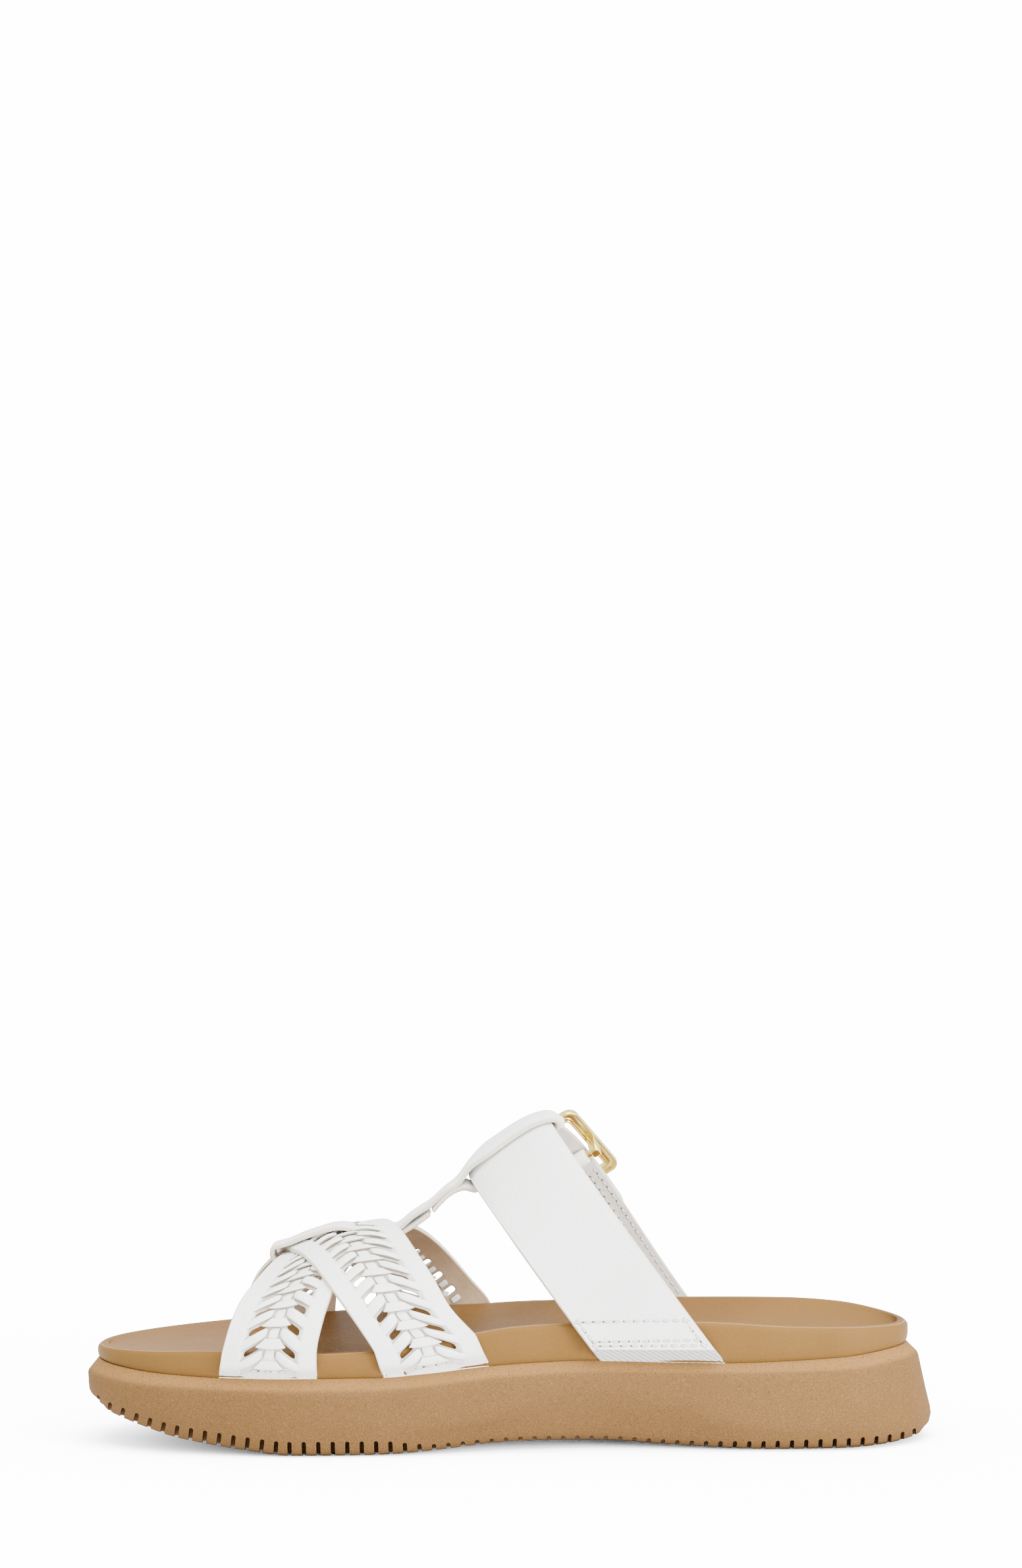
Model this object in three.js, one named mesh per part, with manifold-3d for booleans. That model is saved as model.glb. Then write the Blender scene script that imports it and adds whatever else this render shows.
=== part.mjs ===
// A woman's slide sandal, right shoe, in millimetres. The toe points to -X, the heel to +X, the medial
// side to -Y and the sole stands on z = 0. The origin is under the middle of the sole's box.
import * as THREE from 'three';
import { mergeVertices } from 'three/addons/utils/BufferGeometryUtils.js';
import Module from 'manifold-3d';

const wasm = await Module();
wasm.setup();

// Driving dimensions
const soleLength = 263;         // longest line of the sole
const soleWidth = 95;           // across the ball
const soleHeight = 29.3;        // top of the sole at the heel
const bevelRun = 3.7;           // width of the bevel round the sole's top edge
const heelFlare = 4.1;          // how far the heel's foot stands behind its top edge
const slotPitch = 4.37;         // from one tread slot to the next
const slotWidth = 1.25;
const slotDepth = 4.0;          // at the forefoot
const footbedRim = 39;          // highest point of the footbed's rim
const rimOverhang = 0.6;        // the footbed's wall leans out by this much
const rimRound = 1.2;           // rounding of the rim
const dishDepth = 6.5;          // deepest point of the heel cup under its rim
const clearance = 0.3;          // between any two pieces
const tuck = 3.2;               // how deep a strap's end goes into the sole
const wallInset = 0.6;          // how far a strap's foot is let into the footbed's wall
const bandThickness = 1.5;      // vamp leather between its raised strips
const stripRise = 0.6;          // a strip's raised edge over the leather
const bandCrest = 64.6;         // highest point of the vamp's inner face
const bandOverlap = 0.12;       // the two bands run into each other by this much where they cross
const wovenHalf = 9.5;          // half the woven zone
const weavePitch = 6.4;         // from one strip to the next along a band
const weaveSlant = 35;          // angle of the side strips, in degrees
const holeLength = 3.1;         // across the band
const holeHeight = 1.35;        // along the band
const holeOffset = 6.9;         // from the band's middle to a hole's middle
const plainEnd = 7;             // plain leather above each end of a band
const seatRise = 3;             // a seat is cut this far up past the rim
const bandWidth = 31.5;
const tHalfWidth = 8;           // T-strap
const tThickness = 1.3;
const skinOverT = 1.5;          // band leather that lies over the T-strap behind the slit
const instepThickness = 1.8;
const tCrown = 0.55;            // the T-strap's edges hang this much lower between its two folds
const layerGap = 0.25;          // between its two layers
const instepBulge = 3.4;        // the instep strap is crowned across its width on top
const instepSway = 3.2;         // it runs this much further back below the crest on the lateral side
const instepBaseFront = 24.4;   // the instep strap's lower corners and crest, seen from the side
const instepBaseRear = 62.2;
const instepBaseZ = 31;
const instepCrestFront = -12.1;
const instepCrestRear = 12.9;
const instepCrestLow = 79.6;
const instepCrestHigh = 96.8;
const seatZ = 27;               // the sole's top edge under the instep strap
const goreThickness = 1.2;
const goreTop = 9;              // the gore's upper end inside the strap, in degrees round the foot
const lateralThickness = 1.3;
const tailTurn = 152;           // where the instep strap's tip ends, in degrees round the foot
const buckleTurn = 125;         // where the buckle's bar lies, in degrees round the foot
const railTurn = 15;            // from the bar to either cross rail, in degrees round the foot
const buckleLength = 31;        // along the strap
const buckleWidth = 40.4;         // across the strap
const sideRail = 3.9;
const crossRail = 3.4;
const railThickness = 2.6;
const railBottom = -0.05;       // under the strap's outer face at the bar
const buckleCorner = 3.2;
const bossWidth = 3.0;
const bossWall = 0.5;           // metal round the bar's end
const barRadius = 1.1;
const loopWall = 1.0;           // leather round the bar
const prongWidth = 2.4;
const prongThickness = 1.6;
const slitLength = 6.4;         // the prong's hole in the instep strap
const knee = 2.4;               // how far forward of its hook the prong comes through the strap

// Materials
const finish = (color, roughness, metalness) =>
  new THREE.MeshStandardMaterial({ color, roughness, metalness });
const foam = finish(0xb8936a, 0.85, 0);
const tanLeather = finish(0xbe9869, 0.6, 0);
const whiteLeather = finish(0xeaebe9, 0.55, 0);
const elastic = finish(0xdedee0, 0.9, 0);
const gold = finish(0xd4b878, 0.3, 1);

// Smooth value between the rows of a table, without overshoot
function between(rows, key, column, at) {
  const n = rows.length;
  const x = (i) => rows[i][key];
  const v = (i) => rows[i][column];
  if (at <= x(0)) return v(0);
  if (at >= x(n - 1)) return v(n - 1);
  let i = 0;
  while (at > x(i + 1)) i++;
  const rise = (j) => (v(j + 1) - v(j)) / (x(j + 1) - x(j));
  const slope = (j) => {
    if (j === 0) return rise(0);
    if (j === n - 1) return rise(n - 2);
    const a = rise(j - 1);
    const b = rise(j);
    return a * b <= 0 ? 0 : (2 * a * b) / (a + b);
  };
  const h = x(i + 1) - x(i);
  const t = (at - x(i)) / h;
  const t2 = t * t;
  const t3 = t2 * t;
  return v(i) * (2 * t3 - 3 * t2 + 1) + slope(i) * h * (t3 - 2 * t2 + t)
    + v(i + 1) * (3 * t2 - 2 * t3) + slope(i + 1) * h * (t3 - t2);
}
const mix = THREE.MathUtils.lerp;
const smooth = THREE.MathUtils.smoothstep;
const radians = THREE.MathUtils.degToRad;

// Names the columns of a short table
const table = (columns, rows) =>
  rows.map((row) => Object.fromEntries(columns.map((name, i) => [name, row[i]])));

// Outline of the sole, by the turn from toe (0) to heel (180), as shares of its width
const outline = table(['turn', 'medial', 'lateral'], [
  [0, -0.106, -0.106],
  [20, -0.311, 0.139],
  [40, -0.451, 0.339],
  [60, -0.504, 0.469],
  [75, -0.479, 0.504],
  [90, -0.408, 0.475],
  [105, -0.375, 0.422],
  [120, -0.385, 0.394],
  [140, -0.361, 0.358],
  [160, -0.220, 0.211],
  [180, -0.006, -0.006],
]);

// Heights along the sole, as shares of its length and of its height at the heel
const profile = table(['along', 'lift', 'crease', 'top'], [
  [0.000, 0.461, 0.727, 0.884],
  [0.017, 0.392, 0.715, 0.870],
  [0.048, 0.304, 0.695, 0.845],
  [0.078, 0.225, 0.683, 0.824],
  [0.108, 0.160, 0.676, 0.812],
  [0.154, 0.096, 0.669, 0.796],
  [0.200, 0.041, 0.659, 0.795],
  [0.245, 0.000, 0.650, 0.795],
  [0.340, 0.000, 0.655, 0.798],
  [0.412, 0.027, 0.700, 0.840],
  [0.473, 0.068, 0.752, 0.887],
  [0.520, 0.085, 0.780, 0.912],
  [0.600, 0.080, 0.799, 0.932],
  [0.680, 0.040, 0.795, 0.906],
  [0.750, 0.014, 0.792, 0.898],
  [0.810, 0.000, 0.793, 0.911],
  [0.890, 0.000, 0.802, 0.944],
  [0.935, 0.000, 0.829, 0.976],
  [0.965, 0.010, 0.858, 0.996],
  [1.000, 0.068, 0.887, 1.000],
]);

// The wall of the sole, by turn: insets as shares of the bevel's run, heights as shares of the sole's height
const wall = table(
  ['turn', 'waist', 'waistUp', 'low', 'lowUp', 'curl', 'curlUp', 'foot', 'scoop', 'slot'], [
    [0, 0.13, 0.55, 0.50, 0.07, 1.1, 0.01, 2.3, 0.00, 0.75],
    [20, 0.13, 0.50, 0.50, 0.10, 1.1, 0.03, 2.1, 0.00, 0.80],
    [40, 0.13, 0.45, 0.45, 0.17, 0.95, 0.05, 1.6, 0.00, 0.95],
    [60, 0.13, 0.40, 0.40, 0.20, 0.85, 0.06, 1.4, 0.00, 1.00],
    [72, 0.13, 0.36, 0.40, 0.20, 0.85, 0.06, 1.4, 0.00, 1.00],
    [80, 0.13, 0.32, 0.45, 0.18, 0.95, 0.06, 1.5, 0.25, 0.45],
    [90, 0.15, 0.46, 0.55, 0.20, 1.10, 0.06, 1.7, 0.80, 0.30],
    [100, 0.20, 0.60, 0.65, 0.22, 1.20, 0.06, 1.8, 1.00, 0.28],
    [112, 0.25, 0.48, 0.60, 0.20, 1.10, 0.06, 1.7, 0.70, 0.32],
    [124, 0.20, 0.30, 0.45, 0.18, 0.95, 0.06, 1.5, 0.10, 0.55],
    [140, 0.20, 0.35, 0.25, 0.19, 0.75, 0.06, 1.5, 0.00, 0.75],
    [160, 0.40, 0.45, 0.05, 0.19, 0.55, 0.06, 1.6, 0.00, 0.80],
    [180, 0.45, 0.50, 0.00, 0.16, 0.49, 0.05, 1.6, 0.00, 0.75],
  ]);
const archScoop = 2.4;          // how far the wall under the arch is scooped in

// Rim of the footbed and depth of its dish, as shares of their largest values
const bed = table(['along', 'medialRim', 'lateralRim', 'dish'], [
  [0.010, 0.767, 0.767, 0.15],
  [0.080, 0.785, 0.780, 0.28],
  [0.154, 0.808, 0.800, 0.36],
  [0.280, 0.790, 0.838, 0.38],
  [0.325, 0.802, 0.855, 0.40],
  [0.400, 0.870, 0.880, 0.50],
  [0.455, 0.925, 0.895, 0.62],
  [0.505, 0.972, 0.922, 0.74],
  [0.570, 0.992, 0.945, 0.82],
  [0.720, 0.998, 0.985, 0.95],
  [0.830, 0.955, 0.993, 1.00],
  [0.900, 0.940, 0.975, 0.95],
  [0.972, 0.915, 0.915, 0.60],
]);

const shareAlong = (x) => x / soleLength + 0.5;
const turnAlong = (x) => THREE.MathUtils.radToDeg(Math.acos(THREE.MathUtils.clamp(-2 * x / soleLength, -1, 1)));
const soleZ = (x, column) => between(profile, 'along', column, shareAlong(x)) * soleHeight;
const creaseInset = (turn) => heelFlare * smooth(turn, 85, 180) ** 1.3;

// A point of the sole's outline, by its turn and its side (-1 medial, 1 lateral)
function outlinePoint(turn, side) {
  const column = side < 0 ? 'medial' : 'lateral';
  const y = between(outline, 'turn', column, turn) * soleWidth;
  return new THREE.Vector2(-0.5 * soleLength * Math.cos(radians(turn)), y);
}

// The same point moved inwards, square to the outline
function insetPoint(turn, side, inset) {
  const step = 0.5;
  const before = turn < step ? outlinePoint(step, -side) : outlinePoint(turn - step, side);
  const after = turn > 180 - step ? outlinePoint(180 - step, -side) : outlinePoint(turn + step, side);
  const along = after.sub(before).normalize();
  const inward = new THREE.Vector2(along.y, -along.x).multiplyScalar(side < 0 ? -1 : 1);
  return outlinePoint(turn, side).addScaledVector(inward, inset);
}

// Height and place of the footbed's wall at a given x
const turns = [0, 5, 10, 16, 23, 31, 39, 47, 54, 60, 67, 75, 82, 90, 97, 105, 112, 120, 127, 134, 141, 149,
  157, 164, 170, 175, 180];
const ledgeInset = (turn) => creaseInset(turn) + bevelRun;
function wallY(x, side) {
  const ledge = turns.map((turn) => insetPoint(turn, side, ledgeInset(turn)));
  const i = Math.max(1, ledge.findIndex((p) => p.x >= x));
  const from = ledge[i - 1];
  const to = ledge[i];
  return mix(from.y, to.y, (x - from.x) / (to.x - from.x));
}
const rimZ = (x, side) =>
  between(bed, 'along', side < 0 ? 'medialRim' : 'lateralRim', shareAlong(x)) * footbedRim;

// A closed geometry from points and faces, turned so that its faces point out
function solid(points, faces) {
  let volume = 0;
  for (const [a, b, c] of faces) volume += points[a].dot(points[b].clone().cross(points[c]));
  const geometry = new THREE.BufferGeometry();
  geometry.setAttribute('position',
    new THREE.Float32BufferAttribute(points.flatMap((p) => [p.x, p.y, p.z]), 3));
  geometry.setIndex(faces.flatMap(([a, b, c]) => (volume < 0 ? [a, c, b] : [a, b, c])));
  return geometry;
}

// Boolean joins and cuts
function toManifold(geometry) {
  const bare = geometry.clone();
  bare.deleteAttribute('normal');
  bare.deleteAttribute('uv');
  const merged = mergeVertices(bare, 1e-4);
  return new wasm.Manifold(new wasm.Mesh({
    numProp: 3,
    vertProperties: new Float32Array(merged.attributes.position.array),
    triVerts: new Uint32Array(merged.index.array),
  }));
}
function toGeometry(body) {
  const mesh = body.getMesh();
  const geometry = new THREE.BufferGeometry();
  geometry.setAttribute('position', new THREE.BufferAttribute(new Float32Array(mesh.vertProperties), 3));
  geometry.setIndex(new THREE.BufferAttribute(new Uint32Array(mesh.triVerts), 1));
  return geometry;
}
const join = (...parts) => toGeometry(parts.map(toManifold).reduce((a, b) => a.add(b)));
const cut = (body, ...tools) =>
  toGeometry(tools.map(toManifold).reduce((a, b) => a.subtract(b), toManifold(body)));

// A solid of rings round the shoe, closed by a cap of cross lines at the bottom and at the top
function ringBody(rings, topLines) {
  const points = [];
  const faces = [];
  const last = turns.length - 1;
  const count = 2 * last;
  const slot = (k, side) => (k === 0 ? 0 : k === last ? last : side < 0 ? k : count - k);
  rings.forEach((ring) => {
    for (let k = 0; k <= last; k++) points.push(ring(turns[k], -1));
    for (let k = last - 1; k > 0; k--) points.push(ring(turns[k], 1));
  });
  for (let r = 0; r + 1 < rings.length; r++) {
    for (let i = 0; i < count; i++) {
      const a = r * count + i;
      const b = r * count + (i + 1) % count;
      faces.push([a, b, b + count], [a, b + count, a + count]);
    }
  }
  const cap = (base, lines, height, flip) => {
    const rows = [];
    for (let k = 1; k < last; k++) {
      const from = points[base + slot(k, -1)];
      const to = points[base + slot(k, 1)];
      const row = [base + slot(k, -1)];
      lines.forEach((share) => {
        const p = from.clone().lerp(to, share);
        p.z = height ? height(p.x, share, p.z) : p.z;
        points.push(p);
        row.push(points.length - 1);
      });
      row.push(base + slot(k, 1));
      rows.push(row);
    }
    const put = (a, b, c) => faces.push(flip ? [a, c, b] : [a, b, c]);
    for (let k = 0; k + 1 < rows.length; k++) {
      for (let j = 0; j + 1 < rows[k].length; j++) {
        put(rows[k][j], rows[k + 1][j + 1], rows[k + 1][j]);
        put(rows[k][j], rows[k][j + 1], rows[k + 1][j + 1]);
      }
    }
    for (let j = 0; j + 1 < rows[0].length; j++) {
      put(base + slot(0), rows[0][j + 1], rows[0][j]);
      put(base + slot(last), rows[rows.length - 1][j], rows[rows.length - 1][j + 1]);
    }
  };
  cap(0, [], null, false);
  cap((rings.length - 1) * count, topLines.lines, topLines.height, true);
  return solid(points, faces);
}

// Sole
function soleRing(insetOf, heightOf) {
  return (turn, side) => {
    const p = insetPoint(turn, side, insetOf(turn, side));
    return new THREE.Vector3(p.x, p.y, heightOf(p.x, turn, side));
  };
}
const wallShare = (turn, column) => between(wall, 'turn', column, turn);
const scoopIn = (turn, side) => archScoop * wallShare(turn, 'scoop') * (side < 0 ? 1 : 0.4);
const soleRings = [
  soleRing((t, s) => wallShare(t, 'foot') * bevelRun + scoopIn(t, s), (x) => soleZ(x, 'lift')),
  soleRing((t, s) => wallShare(t, 'curl') * bevelRun + scoopIn(t, s),
    (x, t) => soleZ(x, 'lift') + wallShare(t, 'curlUp') * soleHeight),
  soleRing((t, s) => wallShare(t, 'low') * bevelRun + scoopIn(t, s),
    (x, t) => soleZ(x, 'lift') + wallShare(t, 'lowUp') * soleHeight),
  soleRing((t) => wallShare(t, 'waist') * bevelRun, (x, t) => wallShare(t, 'waistUp') * soleHeight),
  soleRing((t) => creaseInset(t), (x) => soleZ(x, 'crease')),
  soleRing((t) => ledgeInset(t), (x) => soleZ(x, 'top')),
];

// One tread slot: a groove square to the sole's lower line
function slotCutter(x) {
  const depth = slotDepth * wallShare(turnAlong(x), 'slot');
  const half = slotWidth / 2;
  const below = 3;
  const shape = new THREE.Shape();
  shape.moveTo(-half, -below);
  shape.lineTo(half, -below);
  shape.lineTo(0.6 * half, depth);
  shape.lineTo(-0.6 * half, depth);
  shape.closePath();
  const groove = new THREE.ExtrudeGeometry(shape, { depth: soleWidth * 1.2, bevelEnabled: false });
  const slope = Math.atan2(soleZ(x + 1, 'lift') - soleZ(x - 1, 'lift'), 2);
  groove.translate(0, 0, -soleWidth * 0.6);
  groove.rotateX(Math.PI / 2);
  groove.rotateY(-slope);
  groove.translate(x, 0, soleZ(x, 'lift'));
  return groove;
}
const slots = [];
const slotSpan = soleLength - 1.5 * slotPitch;
for (let i = 0; i * slotPitch <= slotSpan; i++) slots.push(slotCutter(-slotSpan / 2 + i * slotPitch));

// Footbed
const footbedRings = [
  soleRing((t) => ledgeInset(t), (x) => soleZ(x, 'top') + clearance),
  soleRing((t) => ledgeInset(t) - rimOverhang, (x, t, s) => rimZ(x, s) - rimRound),
  soleRing((t) => ledgeInset(t) - rimOverhang + 0.4 * rimRound, (x, t, s) => rimZ(x, s) - 0.3 * rimRound),
  soleRing((t) => ledgeInset(t) - rimOverhang + rimRound, (x, t, s) => rimZ(x, s)),
];
const dish = (x, share, z) => {
  const across = Math.abs(2 * share - 1);
  const depth = dishDepth * between(bed, 'along', 'dish', shareAlong(x));
  const ends = Math.sqrt(Math.max(0, 1 - (2 * x / soleLength) ** 6));
  return z - depth * ends * (1 - across ** 2.4);
};
const footbedTop = { lines: [0.07, 0.25, 0.5, 0.75, 0.93], height: dish };

// The vamp lies on a tunnel over the foot. Its turn goes from 0 at the medial rim to 180 at the lateral
// rim, and past either end it counts millimetres down the footbed's wall.
const tunnel = table(['along', 'crest'], [
  [0.140, 0.841],
  [0.211, 0.844],
  [0.234, 0.857],
  [0.257, 0.894],
  [0.280, 0.925],
  [0.302, 0.950],
  [0.325, 0.972],
  [0.344, 0.983],
  [0.363, 0.988],
  [0.401, 1.000],
  [0.480, 0.997],
]);
const strapWallY = (x, side, down) => {
  const drop = rimZ(x, side) - soleZ(x, 'top');
  const out = mix(rimOverhang + 2 * clearance, -wallInset, Math.min(1, down / drop));
  return wallY(x, side) + side * out;
};
function tunnelPoint(x, turn) {
  if (turn < 0) return new THREE.Vector3(x, strapWallY(x, -1, -turn), rimZ(x, -1) + turn);
  if (turn > 180) return new THREE.Vector3(x, strapWallY(x, 1, turn - 180), rimZ(x, 1) + 180 - turn);
  const share = (1 - Math.cos(radians(turn))) / 2;
  const y = mix(strapWallY(x, -1, 0), strapWallY(x, 1, 0), share);
  const base = mix(rimZ(x, -1), rimZ(x, 1), share);
  const crest = between(tunnel, 'along', 'crest', shareAlong(x)) * bandCrest;
  return new THREE.Vector3(x, y, base + (crest - base) * Math.sin(radians(turn)));
}
function tunnelNormal(x, turn) {
  const t = THREE.MathUtils.clamp(turn, -1, 181);
  const round = tunnelPoint(x, t + 1).sub(tunnelPoint(x, t - 1));
  const along = tunnelPoint(x + 1, t).sub(tunnelPoint(x - 1, t));
  return along.cross(round).normalize();
}

// Front and rear edges of the two bands, as shares of the sole's length from the toe
const bandEdges = table(['turn', 'lowFront', 'lowRear', 'topFront', 'topRear'], [
  [-10, 0.1620, 0.2772, 0.3532, 0.4741],
  [0, 0.1681, 0.2764, 0.3422, 0.4582],
  [17, 0.1755, 0.2825, 0.3190, 0.4298],
  [35, 0.1860, 0.2943, 0.2930, 0.4076],
  [52, 0.2010, 0.3120, 0.2730, 0.3888],
  [70, 0.2155, 0.3350, 0.2545, 0.3725],
  [90, 0.2319, 0.3574, 0.2357, 0.3548],
  [110, 0.2535, 0.3780, 0.2195, 0.3345],
  [128, 0.2735, 0.3990, 0.2100, 0.3120],
  [145, 0.2975, 0.4215, 0.1940, 0.2966],
  [163, 0.3250, 0.4470, 0.1790, 0.2868],
  [180, 0.3490, 0.4740, 0.1730, 0.2833],
  [190, 0.3590, 0.4830, 0.1692, 0.2829],
]);

// One band, with a relief and holes in its woven zone
function makeBand(name, liftOver) {
  const edge = (turn, which) =>
    (between(bandEdges, 'turn', name + which, turn) - 0.5) * soleLength;
  const footTurn = (side) => {
    const x = (edge(side < 0 ? -10 : 190, 'Front') + edge(side < 0 ? -10 : 190, 'Rear')) / 2;
    const down = rimZ(x, side) - soleZ(x, 'top') + tuck;
    return side < 0 ? -down : 180 + down;
  };
  const xAt = (turn, across) => mix(edge(turn, 'Front'), edge(turn, 'Rear'), across);
  // Length along the band's middle, to space the strips evenly
  const marks = [];
  let length = 0;
  let before = null;
  for (let turn = footTurn(-1); turn <= footTurn(1) + 0.01; turn += 1) {
    const p = tunnelPoint(xAt(turn, 0.5), turn);
    if (before) length += p.distanceTo(before);
    marks.push({ length, turn });
    before = p;
  }
  const turnAt = (s) => {
    if (s <= 0) return marks[0].turn;
    const i = marks.findIndex((m) => m.length >= s);
    if (i < 0) return marks[marks.length - 1].turn;
    const m = marks[Math.max(i, 1)];
    const p = marks[Math.max(i, 1) - 1];
    return mix(p.turn, m.turn, (s - p.length) / (m.length - p.length));
  };
  const slant = Math.tan(radians(weaveSlant));
  const columns = [-bandWidth / 2, -wovenHalf, -holeOffset - holeLength / 2, -holeOffset + holeLength / 2, 0,
    holeOffset - holeLength / 2, holeOffset + holeLength / 2, wovenHalf, bandWidth / 2];
  const start = tuck + plainEnd + 8;
  const units = Math.floor((length - 2 * start) / weavePitch);
  const first = (length - units * weavePitch) / 2;
  // Rows: the plain ends, then two rows for each strip
  const rows = [footTurn(-1), footTurn(-1) / 2, 0].map((turn) => ({ turn, kind: 'end' }));
  for (let u = 0; u < units; u++) {
    rows.push({ s: first + u * weavePitch, kind: 'low' });
    rows.push({ s: first + u * weavePitch + holeHeight, kind: 'high' });
  }
  rows.push({ s: first + units * weavePitch, kind: 'low' });
  [180, (180 + footTurn(1)) / 2, footTurn(1)].forEach((turn) => rows.push({ turn, kind: 'end' }));
  const lift = (turn) => liftOver * smooth(turn, 16, 33) * (1 - smooth(turn, 147, 164));
  const build = () => {
    const outer = [];
    const inner = [];
    rows.forEach((row) => {
      const outerRow = [];
      const innerRow = [];
      columns.forEach((c) => {
        const woven = row.kind !== 'end';
        const chevron = woven ? slant * (wovenHalf - Math.min(Math.abs(c), wovenHalf)) : 0;
        const turn = row.turn ?? turnAt(row.s + chevron);
        const x = xAt(turn, 0.5 + c / bandWidth);
        const at = tunnelPoint(x, turn);
        const n = tunnelNormal(x, turn);
        const inZone = woven && Math.abs(c) < wovenHalf - 0.1;
        const rise = inZone ? stripRise * (row.kind === 'high' ? 1 : 0.15) : 0.35 * stripRise;
        outerRow.push(at.clone().addScaledVector(n, lift(turn) + bandThickness + rise));
        innerRow.push(at.clone().addScaledVector(n, lift(turn)));
      });
      outer.push(outerRow);
      inner.push(innerRow);
    });
    const isHole = (i, j) => rows[i].kind === 'low' && rows[i + 1].kind === 'high' && (j === 2 || j === 5);
    return slab(outer, inner, isHole);
  };
  // The ends again, grown by the clearance, to cut their seats
  const seat = (side) => {
    const outer = [];
    const inner = [];
    const rim = side < 0 ? 0 : 180;
    const deep = Math.abs(footTurn(side) - rim) + 3 * clearance;
    for (let down = deep; down > -seatRise; down -= (deep + seatRise) / 4) {
      const rowOut = [];
      const rowIn = [];
      for (let c = 0; c <= 6; c++) {
        const turn = rim + side * Math.max(down, 0);
        const x = xAt(rim + side * down, c / 6 + (c / 3 - 1) * 2 * clearance / bandWidth);
        const at = tunnelPoint(x, turn);
        at.z += Math.max(-down, 0);
        const n = tunnelNormal(x, turn);
        rowOut.push(at.clone().addScaledVector(n, bandThickness + stripRise + clearance));
        rowIn.push(at.addScaledVector(n, -clearance));
      }
      outer.push(rowOut);
      inner.push(rowIn);
    }
    return slab(outer, inner);
  };
  return { body: build(), feet: [seat(-1), seat(1)] };
}

// A slab between two grids of points, with some cells left out as holes
function slab(outer, inner, isHole = () => false) {
  const rows = outer.length;
  const columns = outer[0].length;
  const points = [...outer.flat(), ...inner.flat()];
  const o = (i, j) => i * columns + j;
  const n = (i, j) => rows * columns + i * columns + j;
  const filled = (i, j) => i >= 0 && j >= 0 && i < rows - 1 && j < columns - 1 && !isHole(i, j);
  const faces = [];
  const quad = (a, b, c, d) => faces.push([a, b, c], [a, c, d]);
  for (let i = 0; i < rows - 1; i++) {
    for (let j = 0; j < columns - 1; j++) {
      if (!filled(i, j)) continue;
      quad(o(i, j), o(i + 1, j), o(i + 1, j + 1), o(i, j + 1));
      quad(n(i, j), n(i, j + 1), n(i + 1, j + 1), n(i + 1, j));
      if (!filled(i, j - 1)) quad(o(i, j), n(i, j), n(i + 1, j), o(i + 1, j));
      if (!filled(i, j + 1)) quad(o(i, j + 1), o(i + 1, j + 1), n(i + 1, j + 1), n(i, j + 1));
      if (!filled(i - 1, j)) quad(o(i, j), o(i, j + 1), n(i, j + 1), n(i, j));
      if (!filled(i + 1, j)) quad(o(i + 1, j), n(i + 1, j), n(i + 1, j + 1), o(i + 1, j + 1));
    }
  }
  return solid(points, faces);
}

// A slab of even thickness round a grid of middle points
function sheet(grid, half, side = 0) {
  const rows = grid.length;
  const columns = grid[0].length;
  const outer = [];
  const inner = [];
  for (let i = 0; i < rows; i++) {
    outer.push([]);
    inner.push([]);
    for (let j = 0; j < columns; j++) {
      const along = grid[Math.min(i + 1, rows - 1)][j].clone().sub(grid[Math.max(i - 1, 0)][j]);
      const across = grid[i][Math.min(j + 1, columns - 1)].clone().sub(grid[i][Math.max(j - 1, 0)]);
      const normal = along.cross(across).normalize();
      const at = grid[i][j].clone();
      if (j === 0) at.addScaledVector(across.normalize(), -side);
      if (j === columns - 1) at.addScaledVector(across.normalize(), side);
      outer[i].push(at.clone().addScaledVector(normal, half));
      inner[i].push(at.clone().addScaledVector(normal, -half));
    }
  }
  return slab(outer, inner);
}

const topLift = bandThickness + 0.15 * stripRise - bandOverlap;
const lowBand = makeBand('low', 0);
const topBand = makeBand('top', topLift);

// How far the instep strap's crown rises across its width, as a share of its bulge
const crown = table(['share', 'rise'], [
  [0, 0],
  [0.15, 0.62],
  [0.32, 0.96],
  [0.6, 1],
  [0.85, 0.84],
  [1, 0.3],
]);

// The instep strap's inner face, by its share across (0 front, 1 rear) and its turn round the foot. Seen
// from the side its edges are straight; past either end the turn counts millimetres straight down.
function instepPoint(share, turn) {
  const side = turn < 90 ? -1 : 1;
  const down = turn < 0 ? -turn : Math.max(turn - 180, 0);
  const t = THREE.MathUtils.clamp(turn, 0, 180);
  const up = Math.sin(radians(t));
  const baseX = mix(instepBaseFront, instepBaseRear, share);
  const crestX = mix(instepCrestFront, instepCrestRear, share);
  const crestZ = mix(instepCrestLow, instepCrestHigh, share);
  const lean = (baseX - crestX) / (crestZ - instepBaseZ);
  const ends = [-1, 1].map((s) => {
    const high = rimOverhang + 3 * clearance + (s < 0 ? goreThickness + clearance : 0);
    const low = clearance + (s < 0 ? goreThickness + clearance : 0);
    return wallY(baseX, s) + s * mix(high, low, s === side ? Math.min(1, down / (instepBaseZ - seatZ)) : 0);
  });
  const span = new THREE.Vector2(instepCrestRear - instepCrestFront, instepCrestHigh - instepCrestLow);
  span.normalize();
  const window = smooth(t, 20, 72) * (1 - smooth(t, 95, 118));
  const bulge = instepBulge * between(crown, 'share', 'rise', share) * window;
  const sway = instepSway * smooth(t, 92, 120) * (1 - smooth(t, 130, 176));
  return new THREE.Vector3(
    mix(baseX, crestX, up) + lean * down - span.y * bulge + sway,
    mix(ends[0], ends[1], (1 - Math.cos(radians(t))) / 2),
    mix(instepBaseZ, crestZ, up) - down + span.x * bulge,
  );
}
function instepNormal(share, turn) {
  const t = THREE.MathUtils.clamp(turn, 1, 179);
  const round = instepPoint(share, t + 1).sub(instepPoint(share, t - 1));
  const along = instepPoint(share + 0.05, t).sub(instepPoint(share - 0.05, t));
  return along.cross(round).normalize();
}
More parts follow.
